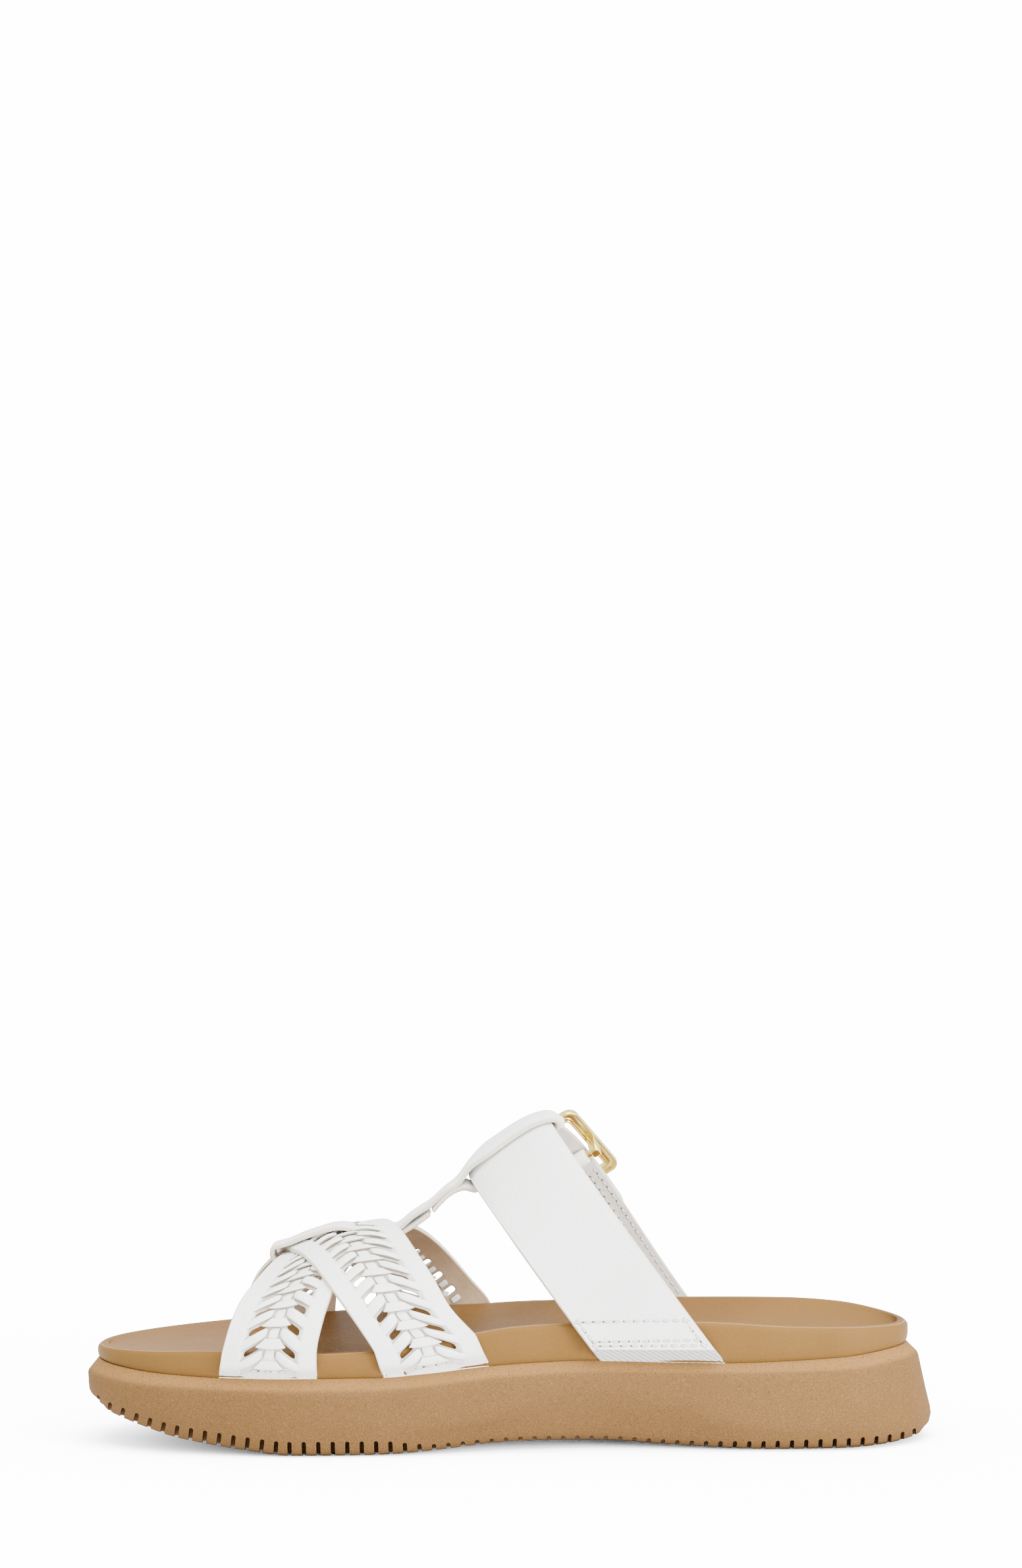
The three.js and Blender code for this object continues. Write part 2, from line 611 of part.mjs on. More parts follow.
const onInstep = (share, turn, out) =>
  instepPoint(share, turn).addScaledVector(instepNormal(share, turn), out);

// A strap on that surface: its shares across, its turns, and its inner and outer face over the surface
function instepShell(shares, stops, innerAt, outerAt) {
  const grid = (height) => stops.map((turn) => shares.map((c) => onInstep(c, turn, height(turn))));
  return slab(grid(outerAt), grid(innerAt));
}
const shares = [0, 0.15, 0.32, 0.5, 0.68, 0.85, 1];
const range = (from, to, count) => Array.from({ length: count + 1 }, (_, i) => mix(from, to, i / count));
const tailLift = (turn) => (lateralThickness + 2 * clearance) * smooth(turn, 98, 127);
const strapBody = instepShell(shares, range(0, tailTurn, 22), tailLift,
  (turn) => tailLift(turn) + instepThickness);
const footDown = instepBaseZ - seatZ + tuck;
const grown = (list, by) => [list[0] - by, ...list.slice(1, -1), list[list.length - 1] + by];
const goreFace = -clearance - goreThickness;
const goreStops = [-footDown, -footDown / 2, 0, goreTop / 2, goreTop];
const gore = instepShell(shares, goreStops, () => goreFace, () => -clearance);
const goreSeat = instepShell(grown(shares, 0.02), [-footDown - 3 * clearance, -footDown / 2, 0],
  () => goreFace - clearance, () => 0);
const lateralStops = [buckleTurn + 2, ...range(buckleTurn + 6, 180, 7), 180 + footDown / 2, 180 + footDown];
const lateralBody = instepShell(shares, lateralStops, () => 0, () => lateralThickness);
const lateralSeat = instepShell(grown(shares, 0.02),
  [180, 180 + footDown / 2, 180 + footDown + 3 * clearance], () => -clearance,
  () => lateralThickness + clearance);

// The buckle's own frame: X across the strap, Y along it towards the lateral side, Z away from the foot
const strapTop = (turn) => onInstep(0.5, turn, tailLift(turn) + instepThickness);
const buckleAlong = strapTop(buckleTurn + railTurn).sub(strapTop(buckleTurn - railTurn)).normalize();
const buckleAcross = instepPoint(1, buckleTurn).sub(instepPoint(0, buckleTurn));
buckleAcross.addScaledVector(buckleAlong, -buckleAcross.dot(buckleAlong)).normalize();
const buckleUp = buckleAcross.clone().cross(buckleAlong);
const buckleFrame = new THREE.Matrix4().makeBasis(buckleAcross, buckleAlong, buckleUp)
  .setPosition(strapTop(buckleTurn));
const toBuckle = (geometry) => geometry.applyMatrix4(buckleFrame);
const loopRadius = barRadius + clearance + loopWall;
const barZ = -instepThickness - clearance - loopRadius;

function roundedRectangle(Path, width, length, radius) {
  const path = new Path();
  const x = width / 2;
  const y = length / 2;
  path.moveTo(-x + radius, -y);
  path.lineTo(x - radius, -y);
  path.absarc(x - radius, -y + radius, radius, -Math.PI / 2, 0);
  path.lineTo(x, y - radius);
  path.absarc(x - radius, y - radius, radius, 0, Math.PI / 2);
  path.lineTo(-x + radius, y);
  path.absarc(-x + radius, y - radius, radius, Math.PI / 2, Math.PI);
  path.lineTo(-x, -y + radius);
  path.absarc(-x + radius, -y + radius, radius, Math.PI, 1.5 * Math.PI);
  return path;
}
function rod(radius, length) {
  return new THREE.CylinderGeometry(radius, radius, length, 12).rotateZ(Math.PI / 2).translate(0, 0, barZ);
}
const box = (x, y, z, atX, atY, atZ) => new THREE.BoxGeometry(x, y, z).translate(atX, atY, atZ);
function buckleBody() {
  const shape = roundedRectangle(THREE.Shape, buckleWidth, buckleLength, buckleCorner);
  shape.holes.push(roundedRectangle(THREE.Path, buckleWidth - 2 * sideRail, buckleLength - 2 * crossRail,
    buckleCorner / 3));
  const frame = new THREE.ExtrudeGeometry(shape, {
    depth: railThickness, curveSegments: 4, bevelEnabled: false,
  }).translate(0, 0, railBottom);
  const railX = (buckleWidth - sideRail) / 2;
  const bossBottom = barZ - barRadius - bossWall;
  const boss = (side) => box(bossWidth, 2 * barRadius + 2 * bossWall, railBottom - bossBottom + 0.5,
    side * railX, 0, (railBottom + 0.5 + bossBottom) / 2);
  return join(frame, boss(-1), boss(1), rod(barRadius, 2 * railX));
}
const loopLength = 0.96 * bandWidth;
const slit = prongWidth + 2 * clearance;
const prongSlot = box(slit, 5 * loopRadius, 5 * loopRadius, 0, 0, barZ);
const prongHole = box(slit, slitLength, 6 * instepThickness, 0, -0.64 * slitLength, 0);

// The prong: hooked under the bar, up through the strap and over the front rail
function prongBody() {
  const hook = barRadius + clearance + prongThickness / 2;
  const railTop = railBottom + railThickness + clearance + prongThickness / 2;
  const rail = -(buckleLength - crossRail) / 2;
  const path = [
    [hook, barZ], [0.7 * hook, barZ - 0.7 * hook], [0, barZ - hook], [-0.7 * hook, barZ - 0.7 * hook],
    [-hook, barZ], [-hook - 0.4 * knee, -instepThickness], [-hook - knee, prongThickness / 4],
    [0.62 * rail, railTop - 0.4 * prongThickness], [rail, railTop], [rail - crossRail / 2, railTop],
  ];
  const curve = new THREE.CatmullRomCurve3(path.map(([y, z]) => new THREE.Vector3(0, y, z)));
  const grid = curve.getPoints(17).map((p) =>
    [-1, 1].map((side) => new THREE.Vector3(side * prongWidth / 2, p.y, p.z)));
  return sheet(grid, prongThickness / 2);
}

// The T-strap, as rows of points across it
const tColumns = [-1, -0.5, 0, 0.5, 1];
const turnAcross = (y, medial, lateral) =>
  THREE.MathUtils.radToDeg(Math.acos(1 - 2 * (y - medial) / (lateral - medial)));
const stack = topLift + bandThickness + stripRise;
function vampRow(along, out) {
  const x = (along - 0.5) * soleLength;
  return tColumns.map((c) => {
    const turn = turnAcross(c * tHalfWidth, strapWallY(x, -1, 0), strapWallY(x, 1, 0));
    return tunnelPoint(x, turn).addScaledVector(tunnelNormal(x, turn), out);
  });
}
function instepRow(share, out) {
  return tColumns.map((c) => {
    const medial = instepPoint(share, 0).y;
    const lateral = instepPoint(share, 180).y;
    return onInstep(share, turnAcross(c * tHalfWidth, medial, lateral), out);
  });
}
const freeRow = (along, up) => tColumns.map((c) => new THREE.Vector3(
  (along - 0.5) * soleLength, c * tHalfWidth, up * instepCrestHigh - tCrown * c * c));
const half = tThickness / 2;
const tOver = stack + clearance + half;
const tUnder = -clearance - half;
const tInside = stack - skinOverT - clearance - half;
const tReturn = tInside - tThickness - layerGap;
const overInstep = instepThickness + 2 * clearance + half;
const underInstep = -2 * clearance - half;
// Its route from one end to the other: what each row lies on, where along that, and how high over it.
// Rows in air give shares of the sole's length and of the instep strap's crest.
const tRoute = table(['piece', 'on', 'at', 'height'], [
  ['return', 'air', 0.4027, 0.7195],
  ['return', 'air', 0.3954, 0.7040],
  ['return', 'air', 0.3821, 0.6790],
  ['return', 'vamp', 0.3657, tReturn],
  ['return', 'vamp', 0.3550, tReturn],
  ['return', 'vamp', 0.3400, tReturn],
  ['return', 'vamp', 0.3250, mix(tReturn, tUnder, 0.5)],
  ['return', 'vamp', 0.3080, tUnder],
  ['fold', 'vamp', 0.2850, tUnder],
  ['fold', 'vamp', 0.2600, tUnder],
  ['fold', 'vamp', 0.2370, tUnder],
  ['fold', 'vamp', 0.2270, mix(tUnder, tOver, -0.05)],
  ['fold', 'vamp', 0.2200, mix(tUnder, tOver, 0.2)],
  ['fold', 'vamp', 0.2174, mix(tUnder, tOver, 0.58)],
  ['fold', 'vamp', 0.2200, mix(tUnder, tOver, 0.92)],
  ['fold', 'vamp', 0.2280, tOver],
  ['fold', 'vamp', 0.2420, tOver],
  ['fold', 'vamp', 0.2600, tOver],
  ['fold', 'vamp', 0.2780, tOver],
  ['slit', 'vamp', 0.2925, tOver],
  ['slit', 'vamp', 0.3040, mix(tOver, tInside, 0.18)],
  ['slit', 'vamp', 0.3130, mix(tOver, tInside, 0.5)],
  ['slit', 'vamp', 0.3220, mix(tOver, tInside, 0.85)],
  ['slit', 'vamp', 0.3320, tInside],
  ['slit', 'vamp', 0.3440, tInside],
  ['slit', 'vamp', 0.3550, tInside],
  ['slit', 'vamp', 0.3650, tInside],
  ['slit', 'air', 0.3821, 0.7087],
  ['slit', 'air', 0.3920, 0.7270],
  ['ridge', 'air', 0.4042, 0.7500],
  ['ridge', 'air', 0.4228, 0.8050],
  ['ridge', 'air', 0.4369, 0.8520],
  ['ridge', 'air', 0.4510, 0.8940],
  ['loop', 'instep', 0.30, overInstep],
  ['loop', 'instep', 0.46, overInstep],
  ['loop', 'instep', 0.63, overInstep],
  ['loop', 'instep', 0.80, overInstep],
  ['loop', 'instep', 0.93, overInstep],
  ['loop', 'instep', 1.03, mix(overInstep, underInstep, 0.1)],
  ['loop', 'instep', 1.065, mix(overInstep, underInstep, 0.46)],
  ['loop', 'instep', 1.03, mix(overInstep, underInstep, 0.92)],
  ['loop', 'instep', 0.94, underInstep],
  ['loop', 'instep', 0.75, underInstep],
  ['loop', 'instep', 0.55, underInstep],
  ['loop', 'instep', 0.35, underInstep],
  ['loop', 'instep', 0.16, underInstep],
  ['loop', 'instep', -0.02, underInstep],
  ['loop', 'instep', -0.08, underInstep],
  ['end', 'air', 0.4420, 0.7980],
  ['end', 'air', 0.4290, 0.7850],
  ['end', 'air', 0.4170, 0.7600],
  ['end', 'air', 0.4076, 0.7310],
]);
const lay = { vamp: vampRow, instep: instepRow, air: freeRow };
const laid = (rows) => rows.map(({ on, at, height }) => lay[on](at, height));
function smoothRows(rows, steps) {
  const curves = tColumns.map((_, j) => new THREE.CatmullRomCurve3(rows.map((row) => row[j])));
  return range(0, 1, steps).map((t) => curves.map((curve) => curve.getPoint(t)));
}
const tBody = sheet(smoothRows(laid(tRoute), 62), half);
const tChannels = ['return', 'slit'].map((piece) => {
  const rows = laid(tRoute.filter((row) => row.piece === piece));
  return sheet(smoothRows(rows, 13), half + 1.2 * clearance, clearance);
});

const group = new THREE.Group();
function addPart(name, geometry, material) {
  const flat = geometry.index ? geometry.toNonIndexed() : geometry;
  flat.computeVertexNormals();
  const mesh = new THREE.Mesh(flat, material);
  mesh.name = name;
  group.add(mesh);
}

const feet = [...lowBand.feet, ...topBand.feet, goreSeat, lateralSeat];
addPart('sole', cut(ringBody(soleRings, { lines: [] }), ...slots, ...feet), foam);
addPart('footbed', cut(ringBody(footbedRings, footbedTop), ...feet), tanLeather);
addPart('vamp', cut(join(lowBand.body, topBand.body), ...tChannels), whiteLeather);
addPart('t_strap', tBody, whiteLeather);
addPart('instep_strap', cut(strapBody, toBuckle(prongHole)), whiteLeather);
addPart('gore', gore, elastic);
const loop = toBuckle(rod(loopRadius, loopLength));
const bore = toBuckle(rod(barRadius + clearance, 2 * bandWidth));
addPart('lateral_strap', cut(join(lateralBody, loop), bore, toBuckle(prongSlot)), whiteLeather);
addPart('buckle', toBuckle(buckleBody()), gold);
addPart('prong', toBuckle(prongBody()), gold);

export default group;
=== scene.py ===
import math

import bmesh
import bpy
from mathutils import Matrix, Vector


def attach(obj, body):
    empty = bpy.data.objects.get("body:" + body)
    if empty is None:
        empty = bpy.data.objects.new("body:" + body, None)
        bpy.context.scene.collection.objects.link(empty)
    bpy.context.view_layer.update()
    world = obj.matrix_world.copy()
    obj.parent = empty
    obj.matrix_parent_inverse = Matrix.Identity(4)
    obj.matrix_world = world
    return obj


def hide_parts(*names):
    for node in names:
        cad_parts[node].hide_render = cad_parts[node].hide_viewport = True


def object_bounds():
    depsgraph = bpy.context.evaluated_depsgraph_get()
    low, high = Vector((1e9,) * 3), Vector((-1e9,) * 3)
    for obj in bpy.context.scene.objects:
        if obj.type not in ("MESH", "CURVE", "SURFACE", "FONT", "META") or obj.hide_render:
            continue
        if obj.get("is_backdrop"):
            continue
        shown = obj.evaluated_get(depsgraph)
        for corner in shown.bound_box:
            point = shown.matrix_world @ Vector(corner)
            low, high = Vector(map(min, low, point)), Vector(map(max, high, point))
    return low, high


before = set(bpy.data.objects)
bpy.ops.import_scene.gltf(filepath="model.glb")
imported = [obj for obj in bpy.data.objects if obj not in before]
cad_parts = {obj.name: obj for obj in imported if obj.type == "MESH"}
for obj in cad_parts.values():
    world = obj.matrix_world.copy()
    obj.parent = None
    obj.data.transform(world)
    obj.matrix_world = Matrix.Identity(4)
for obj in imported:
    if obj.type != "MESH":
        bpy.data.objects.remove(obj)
cad_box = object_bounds()
MM = 0.001

# Sizes of the sandal in millimetres. The toe points to -X and the medial side to -Y.
SOLE_LENGTH = 263
SOLE_WIDTH = 95
SOLE_HEIGHT = 29.3
BEVEL_RUN = 3.7
HEEL_FLARE = 4.1
ARCH_SCOOP = 2.4
SLOT_PITCH = 4.37
SLOT_WIDTH = 1.35
SLOT_DEPTH = 4.4
SLOT_REACH = 10
FOOTBED_RIM = 39
RIM_OVERHANG = 0.6
RIM_ROUND = 1.6
DISH_DEPTH = 6.5
CLEARANCE = 0.3
TUCK = 2.8
WALL_INSET = 1.9
FOOT_SINK = 1.7
BAND_THICKNESS = 1.5
STRIP_RISE = 0.6
BAND_CREST = 64.6
BAND_WIDTH = 31.5
TOP_LIFT = 1.47
T_HALF_WIDTH = 8
T_THICKNESS = 1.3
T_CROWN = 0.55
T_DROOP = 1.7
T_DROOP_FROM = 0.807
SKIN_OVER_T = 1.5
LAYER_GAP = 0.25
SLIT_FRONT = -54.5
SLIT_REAR = -48
SLIT_HEIGHT = 50
INSTEP_THICKNESS = 1.8
INSTEP_BULGE = 3.4
INSTEP_SWAY = 3.2
INSTEP_BASE = (24.4, 62.2, 31)
INSTEP_CREST_X = (-12.1, 12.9)
INSTEP_CREST_Z = (79.6, 96.8)
SEAT_Z = 27
GORE_THICKNESS = 1.2
GORE_TOP = 9
LATERAL_THICKNESS = 1.3
TAIL_TURN = 152
BUCKLE_TURN = 125
RAIL_TURN = 15
BUCKLE_LENGTH = 31
BUCKLE_WIDTH = 40.4
SIDE_RAIL = 3.9
CROSS_RAIL = 3.4
RAIL_THICKNESS = 2.6
BUCKLE_CORNER = 3.4
BAR_RADIUS = 1.1
LOOP_WALL = 1.0
PRONG_WIDTH = 2.4
PRONG_THICKNESS = 1.6


class Table:
    """A short table, read by a key with a smooth curve that doesn't overshoot."""

    def __init__(self, columns, rows):
        self.columns = dict(zip(columns, zip(*rows)))
        self.key = self.columns[columns[0]]

    def read(self, column, at):
        key, value = self.key, self.columns[column]
        if at <= key[0]:
            return value[0]
        if at >= key[-1]:
            return value[-1]
        i = next(k for k in range(len(key) - 1) if at <= key[k + 1])

        def rise(j):
            return (value[j + 1] - value[j]) / (key[j + 1] - key[j])

        def slope(j):
            if j == 0:
                return rise(0)
            if j == len(key) - 1:
                return rise(j - 1)
            a, b = rise(j - 1), rise(j)
            return 0 if a * b <= 0 else 2 * a * b / (a + b)

        h = key[i + 1] - key[i]
        t = (at - key[i]) / h
        return (value[i] * (2 * t**3 - 3 * t**2 + 1) + slope(i) * h * (t**3 - 2 * t**2 + t)
                + value[i + 1] * (3 * t**2 - 2 * t**3) + slope(i + 1) * h * (t**3 - t**2))


OUTLINE = Table(("turn", "medial", "lateral"), (
    (0, -0.106, -0.106), (20, -0.311, 0.139), (40, -0.451, 0.339), (60, -0.504, 0.469),
    (75, -0.479, 0.504), (90, -0.408, 0.475), (105, -0.375, 0.422), (120, -0.385, 0.394),
    (140, -0.361, 0.358), (160, -0.220, 0.211), (180, -0.006, -0.006)))
PROFILE = Table(("along", "lift", "crease", "top"), (
    (0.000, 0.461, 0.727, 0.884), (0.017, 0.392, 0.715, 0.870), (0.048, 0.304, 0.695, 0.845),
    (0.078, 0.225, 0.683, 0.824), (0.108, 0.160, 0.676, 0.812), (0.154, 0.096, 0.669, 0.796),
    (0.200, 0.041, 0.659, 0.795), (0.245, 0.000, 0.650, 0.795), (0.340, 0.000, 0.655, 0.798),
    (0.412, 0.027, 0.700, 0.840), (0.473, 0.068, 0.752, 0.887), (0.520, 0.085, 0.780, 0.912),
    (0.600, 0.080, 0.799, 0.932), (0.680, 0.040, 0.795, 0.906), (0.750, 0.014, 0.792, 0.898),
    (0.810, 0.000, 0.793, 0.911), (0.890, 0.000, 0.802, 0.944), (0.935, 0.000, 0.829, 0.976),
    (0.965, 0.010, 0.858, 0.996), (1.000, 0.068, 0.887, 1.000)))
WALL = Table(("turn", "waist", "waist_up", "low", "low_up", "curl", "curl_up", "foot", "scoop", "slot"), (
    (0, 0.13, 0.55, 0.50, 0.07, 1.10, 0.01, 2.3, 0.00, 0.75),
    (20, 0.13, 0.50, 0.50, 0.10, 1.10, 0.03, 2.1, 0.00, 0.80),
    (40, 0.13, 0.45, 0.45, 0.17, 0.95, 0.05, 1.6, 0.00, 0.95),
    (60, 0.13, 0.40, 0.40, 0.20, 0.85, 0.06, 1.4, 0.00, 1.00),
    (72, 0.13, 0.36, 0.40, 0.20, 0.85, 0.06, 1.4, 0.00, 1.00),
    (80, 0.13, 0.32, 0.45, 0.18, 0.95, 0.06, 1.5, 0.25, 0.45),
    (90, 0.15, 0.46, 0.55, 0.20, 1.10, 0.06, 1.7, 0.80, 0.30),
    (100, 0.20, 0.60, 0.65, 0.22, 1.20, 0.06, 1.8, 1.00, 0.28),
    (112, 0.25, 0.48, 0.60, 0.20, 1.10, 0.06, 1.7, 0.70, 0.32),
    (124, 0.20, 0.30, 0.45, 0.18, 0.95, 0.06, 1.5, 0.10, 0.55),
    (140, 0.20, 0.35, 0.25, 0.19, 0.75, 0.06, 1.5, 0.00, 0.75),
    (160, 0.40, 0.45, 0.05, 0.19, 0.55, 0.06, 1.6, 0.00, 0.80),
    (180, 0.45, 0.50, 0.00, 0.16, 0.49, 0.05, 1.6, 0.00, 0.75)))
BED = Table(("along", "medial", "lateral", "dish"), (
    (0.010, 0.767, 0.767, 0.15), (0.080, 0.785, 0.780, 0.28), (0.154, 0.808, 0.800, 0.36),
    (0.280, 0.790, 0.838, 0.38), (0.325, 0.802, 0.855, 0.40), (0.400, 0.870, 0.880, 0.50),
    (0.455, 0.925, 0.895, 0.62), (0.505, 0.972, 0.922, 0.74), (0.570, 0.992, 0.945, 0.82),
    (0.720, 0.998, 0.985, 0.95), (0.830, 0.955, 0.993, 1.00), (0.900, 0.940, 0.975, 0.95),
    (0.972, 0.915, 0.915, 0.60)))
TUNNEL = Table(("along", "crest"), (
    (0.140, 0.841), (0.211, 0.844), (0.234, 0.857), (0.257, 0.894), (0.280, 0.925), (0.302, 0.950),
    (0.325, 0.972), (0.344, 0.983), (0.363, 0.988), (0.401, 1.000), (0.480, 0.997)))
EDGES = Table(("turn", "low_front", "low_rear", "top_front", "top_rear"), (
    (-10, 0.1620, 0.2772, 0.3532, 0.4741), (0, 0.1681, 0.2764, 0.3422, 0.4582),
    (17, 0.1755, 0.2825, 0.3190, 0.4298), (35, 0.1860, 0.2943, 0.2930, 0.4076),
    (52, 0.2010, 0.3120, 0.2730, 0.3888), (70, 0.2155, 0.3350, 0.2545, 0.3725),
    (90, 0.2319, 0.3574, 0.2357, 0.3548), (110, 0.2535, 0.3780, 0.2195, 0.3345),
    (128, 0.2735, 0.3990, 0.2100, 0.3120), (145, 0.2975, 0.4215, 0.1940, 0.2966),
    (163, 0.3250, 0.4470, 0.1790, 0.2868), (180, 0.3490, 0.4740, 0.1730, 0.2833),
    (190, 0.3590, 0.4830, 0.1692, 0.2829)))
CROWN = Table(("share", "rise"), ((0, 0), (0.15, 0.62), (0.32, 0.96), (0.6, 1), (0.85, 0.84), (1, 0.3)))


def mix(a, b, share):
    return a + (b - a) * share


def smooth(value, low, high):
    t = min(1, max(0, (value - low) / (high - low)))
    return t * t * (3 - 2 * t)


def span(start, end, count):
    return [mix(start, end, i / count) for i in range(count + 1)]


def share_along(x):
    return x / SOLE_LENGTH + 0.5


def sole_z(x, column):
    return PROFILE.read(column, share_along(x)) * SOLE_HEIGHT


def crease_inset(turn):
    return HEEL_FLARE * smooth(turn, 85, 180) ** 1.3


def ledge_inset(turn):
    return crease_inset(turn) + BEVEL_RUN


def outline_point(turn, side):
    y = OUTLINE.read("medial" if side < 0 else "lateral", turn) * SOLE_WIDTH
    return Vector((-0.5 * SOLE_LENGTH * math.cos(math.radians(turn)), y))


def inset_frame(turn, side):
    """A point of the outline and the direction square to it, into the sole."""
    step = 0.5
    before = outline_point(step, -side) if turn < step else outline_point(turn - step, side)
    after = outline_point(180 - step, -side) if turn > 180 - step else outline_point(turn + step, side)
    along = (after - before).normalized()
    return outline_point(turn, side), Vector((along.y, -along.x)) * (-1 if side < 0 else 1)


TURNS = span(0, 180, 90)
RIM = {(turn, side): inset_frame(turn, side) for turn in TURNS for side in (-1, 1)}
LEDGE = {side: [RIM[turn, side][0] + RIM[turn, side][1] * ledge_inset(turn) for turn in TURNS]
         for side in (-1, 1)}


def wall_y(x, side):
    ledge = LEDGE[side]
    i = next((k for k in range(1, len(ledge) - 1) if ledge[k].x >= x), len(ledge) - 1)
    a, b = ledge[i - 1], ledge[i]
    return mix(a.y, b.y, (x - a.x) / (b.x - a.x))


def rim_z(x, side):
    return BED.read("medial" if side < 0 else "lateral", share_along(x)) * FOOTBED_RIM


# Mesh helpers. Points are in millimetres until they enter a mesh.
def new_object(name, points, faces, materials, indices=None, edge_paint=None):
    mesh = bpy.data.meshes.new(name)
    mesh.from_pydata([Vector(p) * MM for p in points], [], faces)
    for material in materials:
        mesh.materials.append(material)
    if indices:
        mesh.polygons.foreach_set("material_index", indices)
    if edge_paint is not None:
        layer = mesh.attributes.new("edge_paint", "FLOAT", "POINT")
        layer.data.foreach_set("value", edge_paint)
    mesh.polygons.foreach_set("use_smooth", [True] * len(mesh.polygons))
    mesh.update()
    piece = bpy.data.objects.new(name, mesh)
    bpy.context.scene.collection.objects.link(piece)
    return piece


def face_out(piece):
    """Merges doubles and turns every face of a closed piece outwards."""
    cage = bmesh.new()
    cage.from_mesh(piece.data)
    bmesh.ops.remove_doubles(cage, verts=cage.verts, dist=1e-6)
    bmesh.ops.recalc_face_normals(cage, faces=cage.faces)
    cage.to_mesh(piece.data)
    cage.free()
    return piece


def refine(piece, levels):
    modifier = piece.modifiers.new("refine", "SUBSURF")
    modifier.levels = levels
    modifier.render_levels = levels
    return apply_all(piece)


def apply_all(piece):
    """Turns a piece and its modifiers into one plain mesh."""
    bpy.context.view_layer.update()
    shape = piece.evaluated_get(bpy.context.evaluated_depsgraph_get())
    mesh = bpy.data.meshes.new_from_object(shape)
    piece.modifiers.clear()
    piece.data = mesh
    return piece


def finish_piece(piece, *nodes, slot):
    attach(piece, "root")
    if nodes:
        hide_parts(*nodes)


def merge(name, pieces):
    """Joins several pieces into one object, keeping their materials."""
    target = pieces[0]
    with bpy.context.temp_override(active_object=target, selected_editable_objects=pieces,
                                   object=target, selected_objects=pieces):
        bpy.ops.object.join()
    target.name = name
    return target


def slab(outer, inner, keep=lambda i, j: True):
    """Closed faces between two grids of points, with some cells left out, and a side for each face."""
    rows, columns = len(outer), len(outer[0])
    points = [p for row in outer for p in row] + [p for row in inner for p in row]
    faces, sides = [], []

    def solid(i, j):
        return 0 <= i < rows - 1 and 0 <= j < columns - 1 and keep(i, j)

    def put(face, side):
        faces.append(face)
        sides.append(side)

    for i in range(rows - 1):
        for j in range(columns - 1):
            if not solid(i, j):
                continue
            o = [i * columns + j, (i + 1) * columns + j, (i + 1) * columns + j + 1, i * columns + j + 1]
            n = [v + rows * columns for v in o]
            put(o, 0)
            put(n[::-1], 1)
            for a, b, (di, dj) in ((0, 1, (0, -1)), (1, 2, (1, 0)), (2, 3, (0, 1)), (3, 0, (-1, 0))):
                if not solid(i + di, j + dj):
                    put([o[b], o[a], n[a], n[b]], 2)
    return points, faces, sides


def painted_edges(total, columns, rows=None, wide=3):
    """1 for each point of a slab near its long edges, and at its ends where rows is given; else 0."""
    marks = []
    for k in range(total):
        column = k % columns
        near = min(column, columns - 1 - column) < wide
        end = rows is not None and k // columns % rows in (0, rows - 1)
        marks.append(1 if near or end else 0)
    return marks


def loft(rings, closed_ends=True):
    """Faces between rings of points, capped at both ends."""
    count = len(rings[0])
    points = [p for ring in rings for p in ring]
    faces = []
    for r in range(len(rings) - 1):
        for i in range(count):
            a, b = r * count + i, r * count + (i + 1) % count
            faces.append((a, b, b + count, a + count))
    if closed_ends:
        faces.append(tuple(range(count))[::-1])
        faces.append(tuple((len(rings) - 1) * count + i for i in range(count)))
    return points, faces


# Shader maths: a socket that takes the usual operators
class Value:
    def __init__(self, shader, socket):
        self.shader = shader
        self.socket = socket

    def _math(self, operation, *others):
        return self.shader.node("ShaderNodeMath", {"operation": operation}, self, *others)

    def __add__(self, other):
        return self._math("ADD", other)

    __radd__ = __add__

    def __mul__(self, other):
        return self._math("MULTIPLY", other)

    __rmul__ = __mul__

    def __sub__(self, other):
        return self._math("SUBTRACT", other)

    def __rsub__(self, other):
        return self.shader.node("ShaderNodeMath", {"operation": "SUBTRACT"}, other, self)

    def __pow__(self, other):
        return self._math("POWER", other)

    def above(self, low, high):
        """Goes from 0 at low to 1 at high, softly."""
        return self.shader.node("ShaderNodeMapRange", {"interpolation_type": "SMOOTHSTEP"},
                                self, low, high, 0, 1)


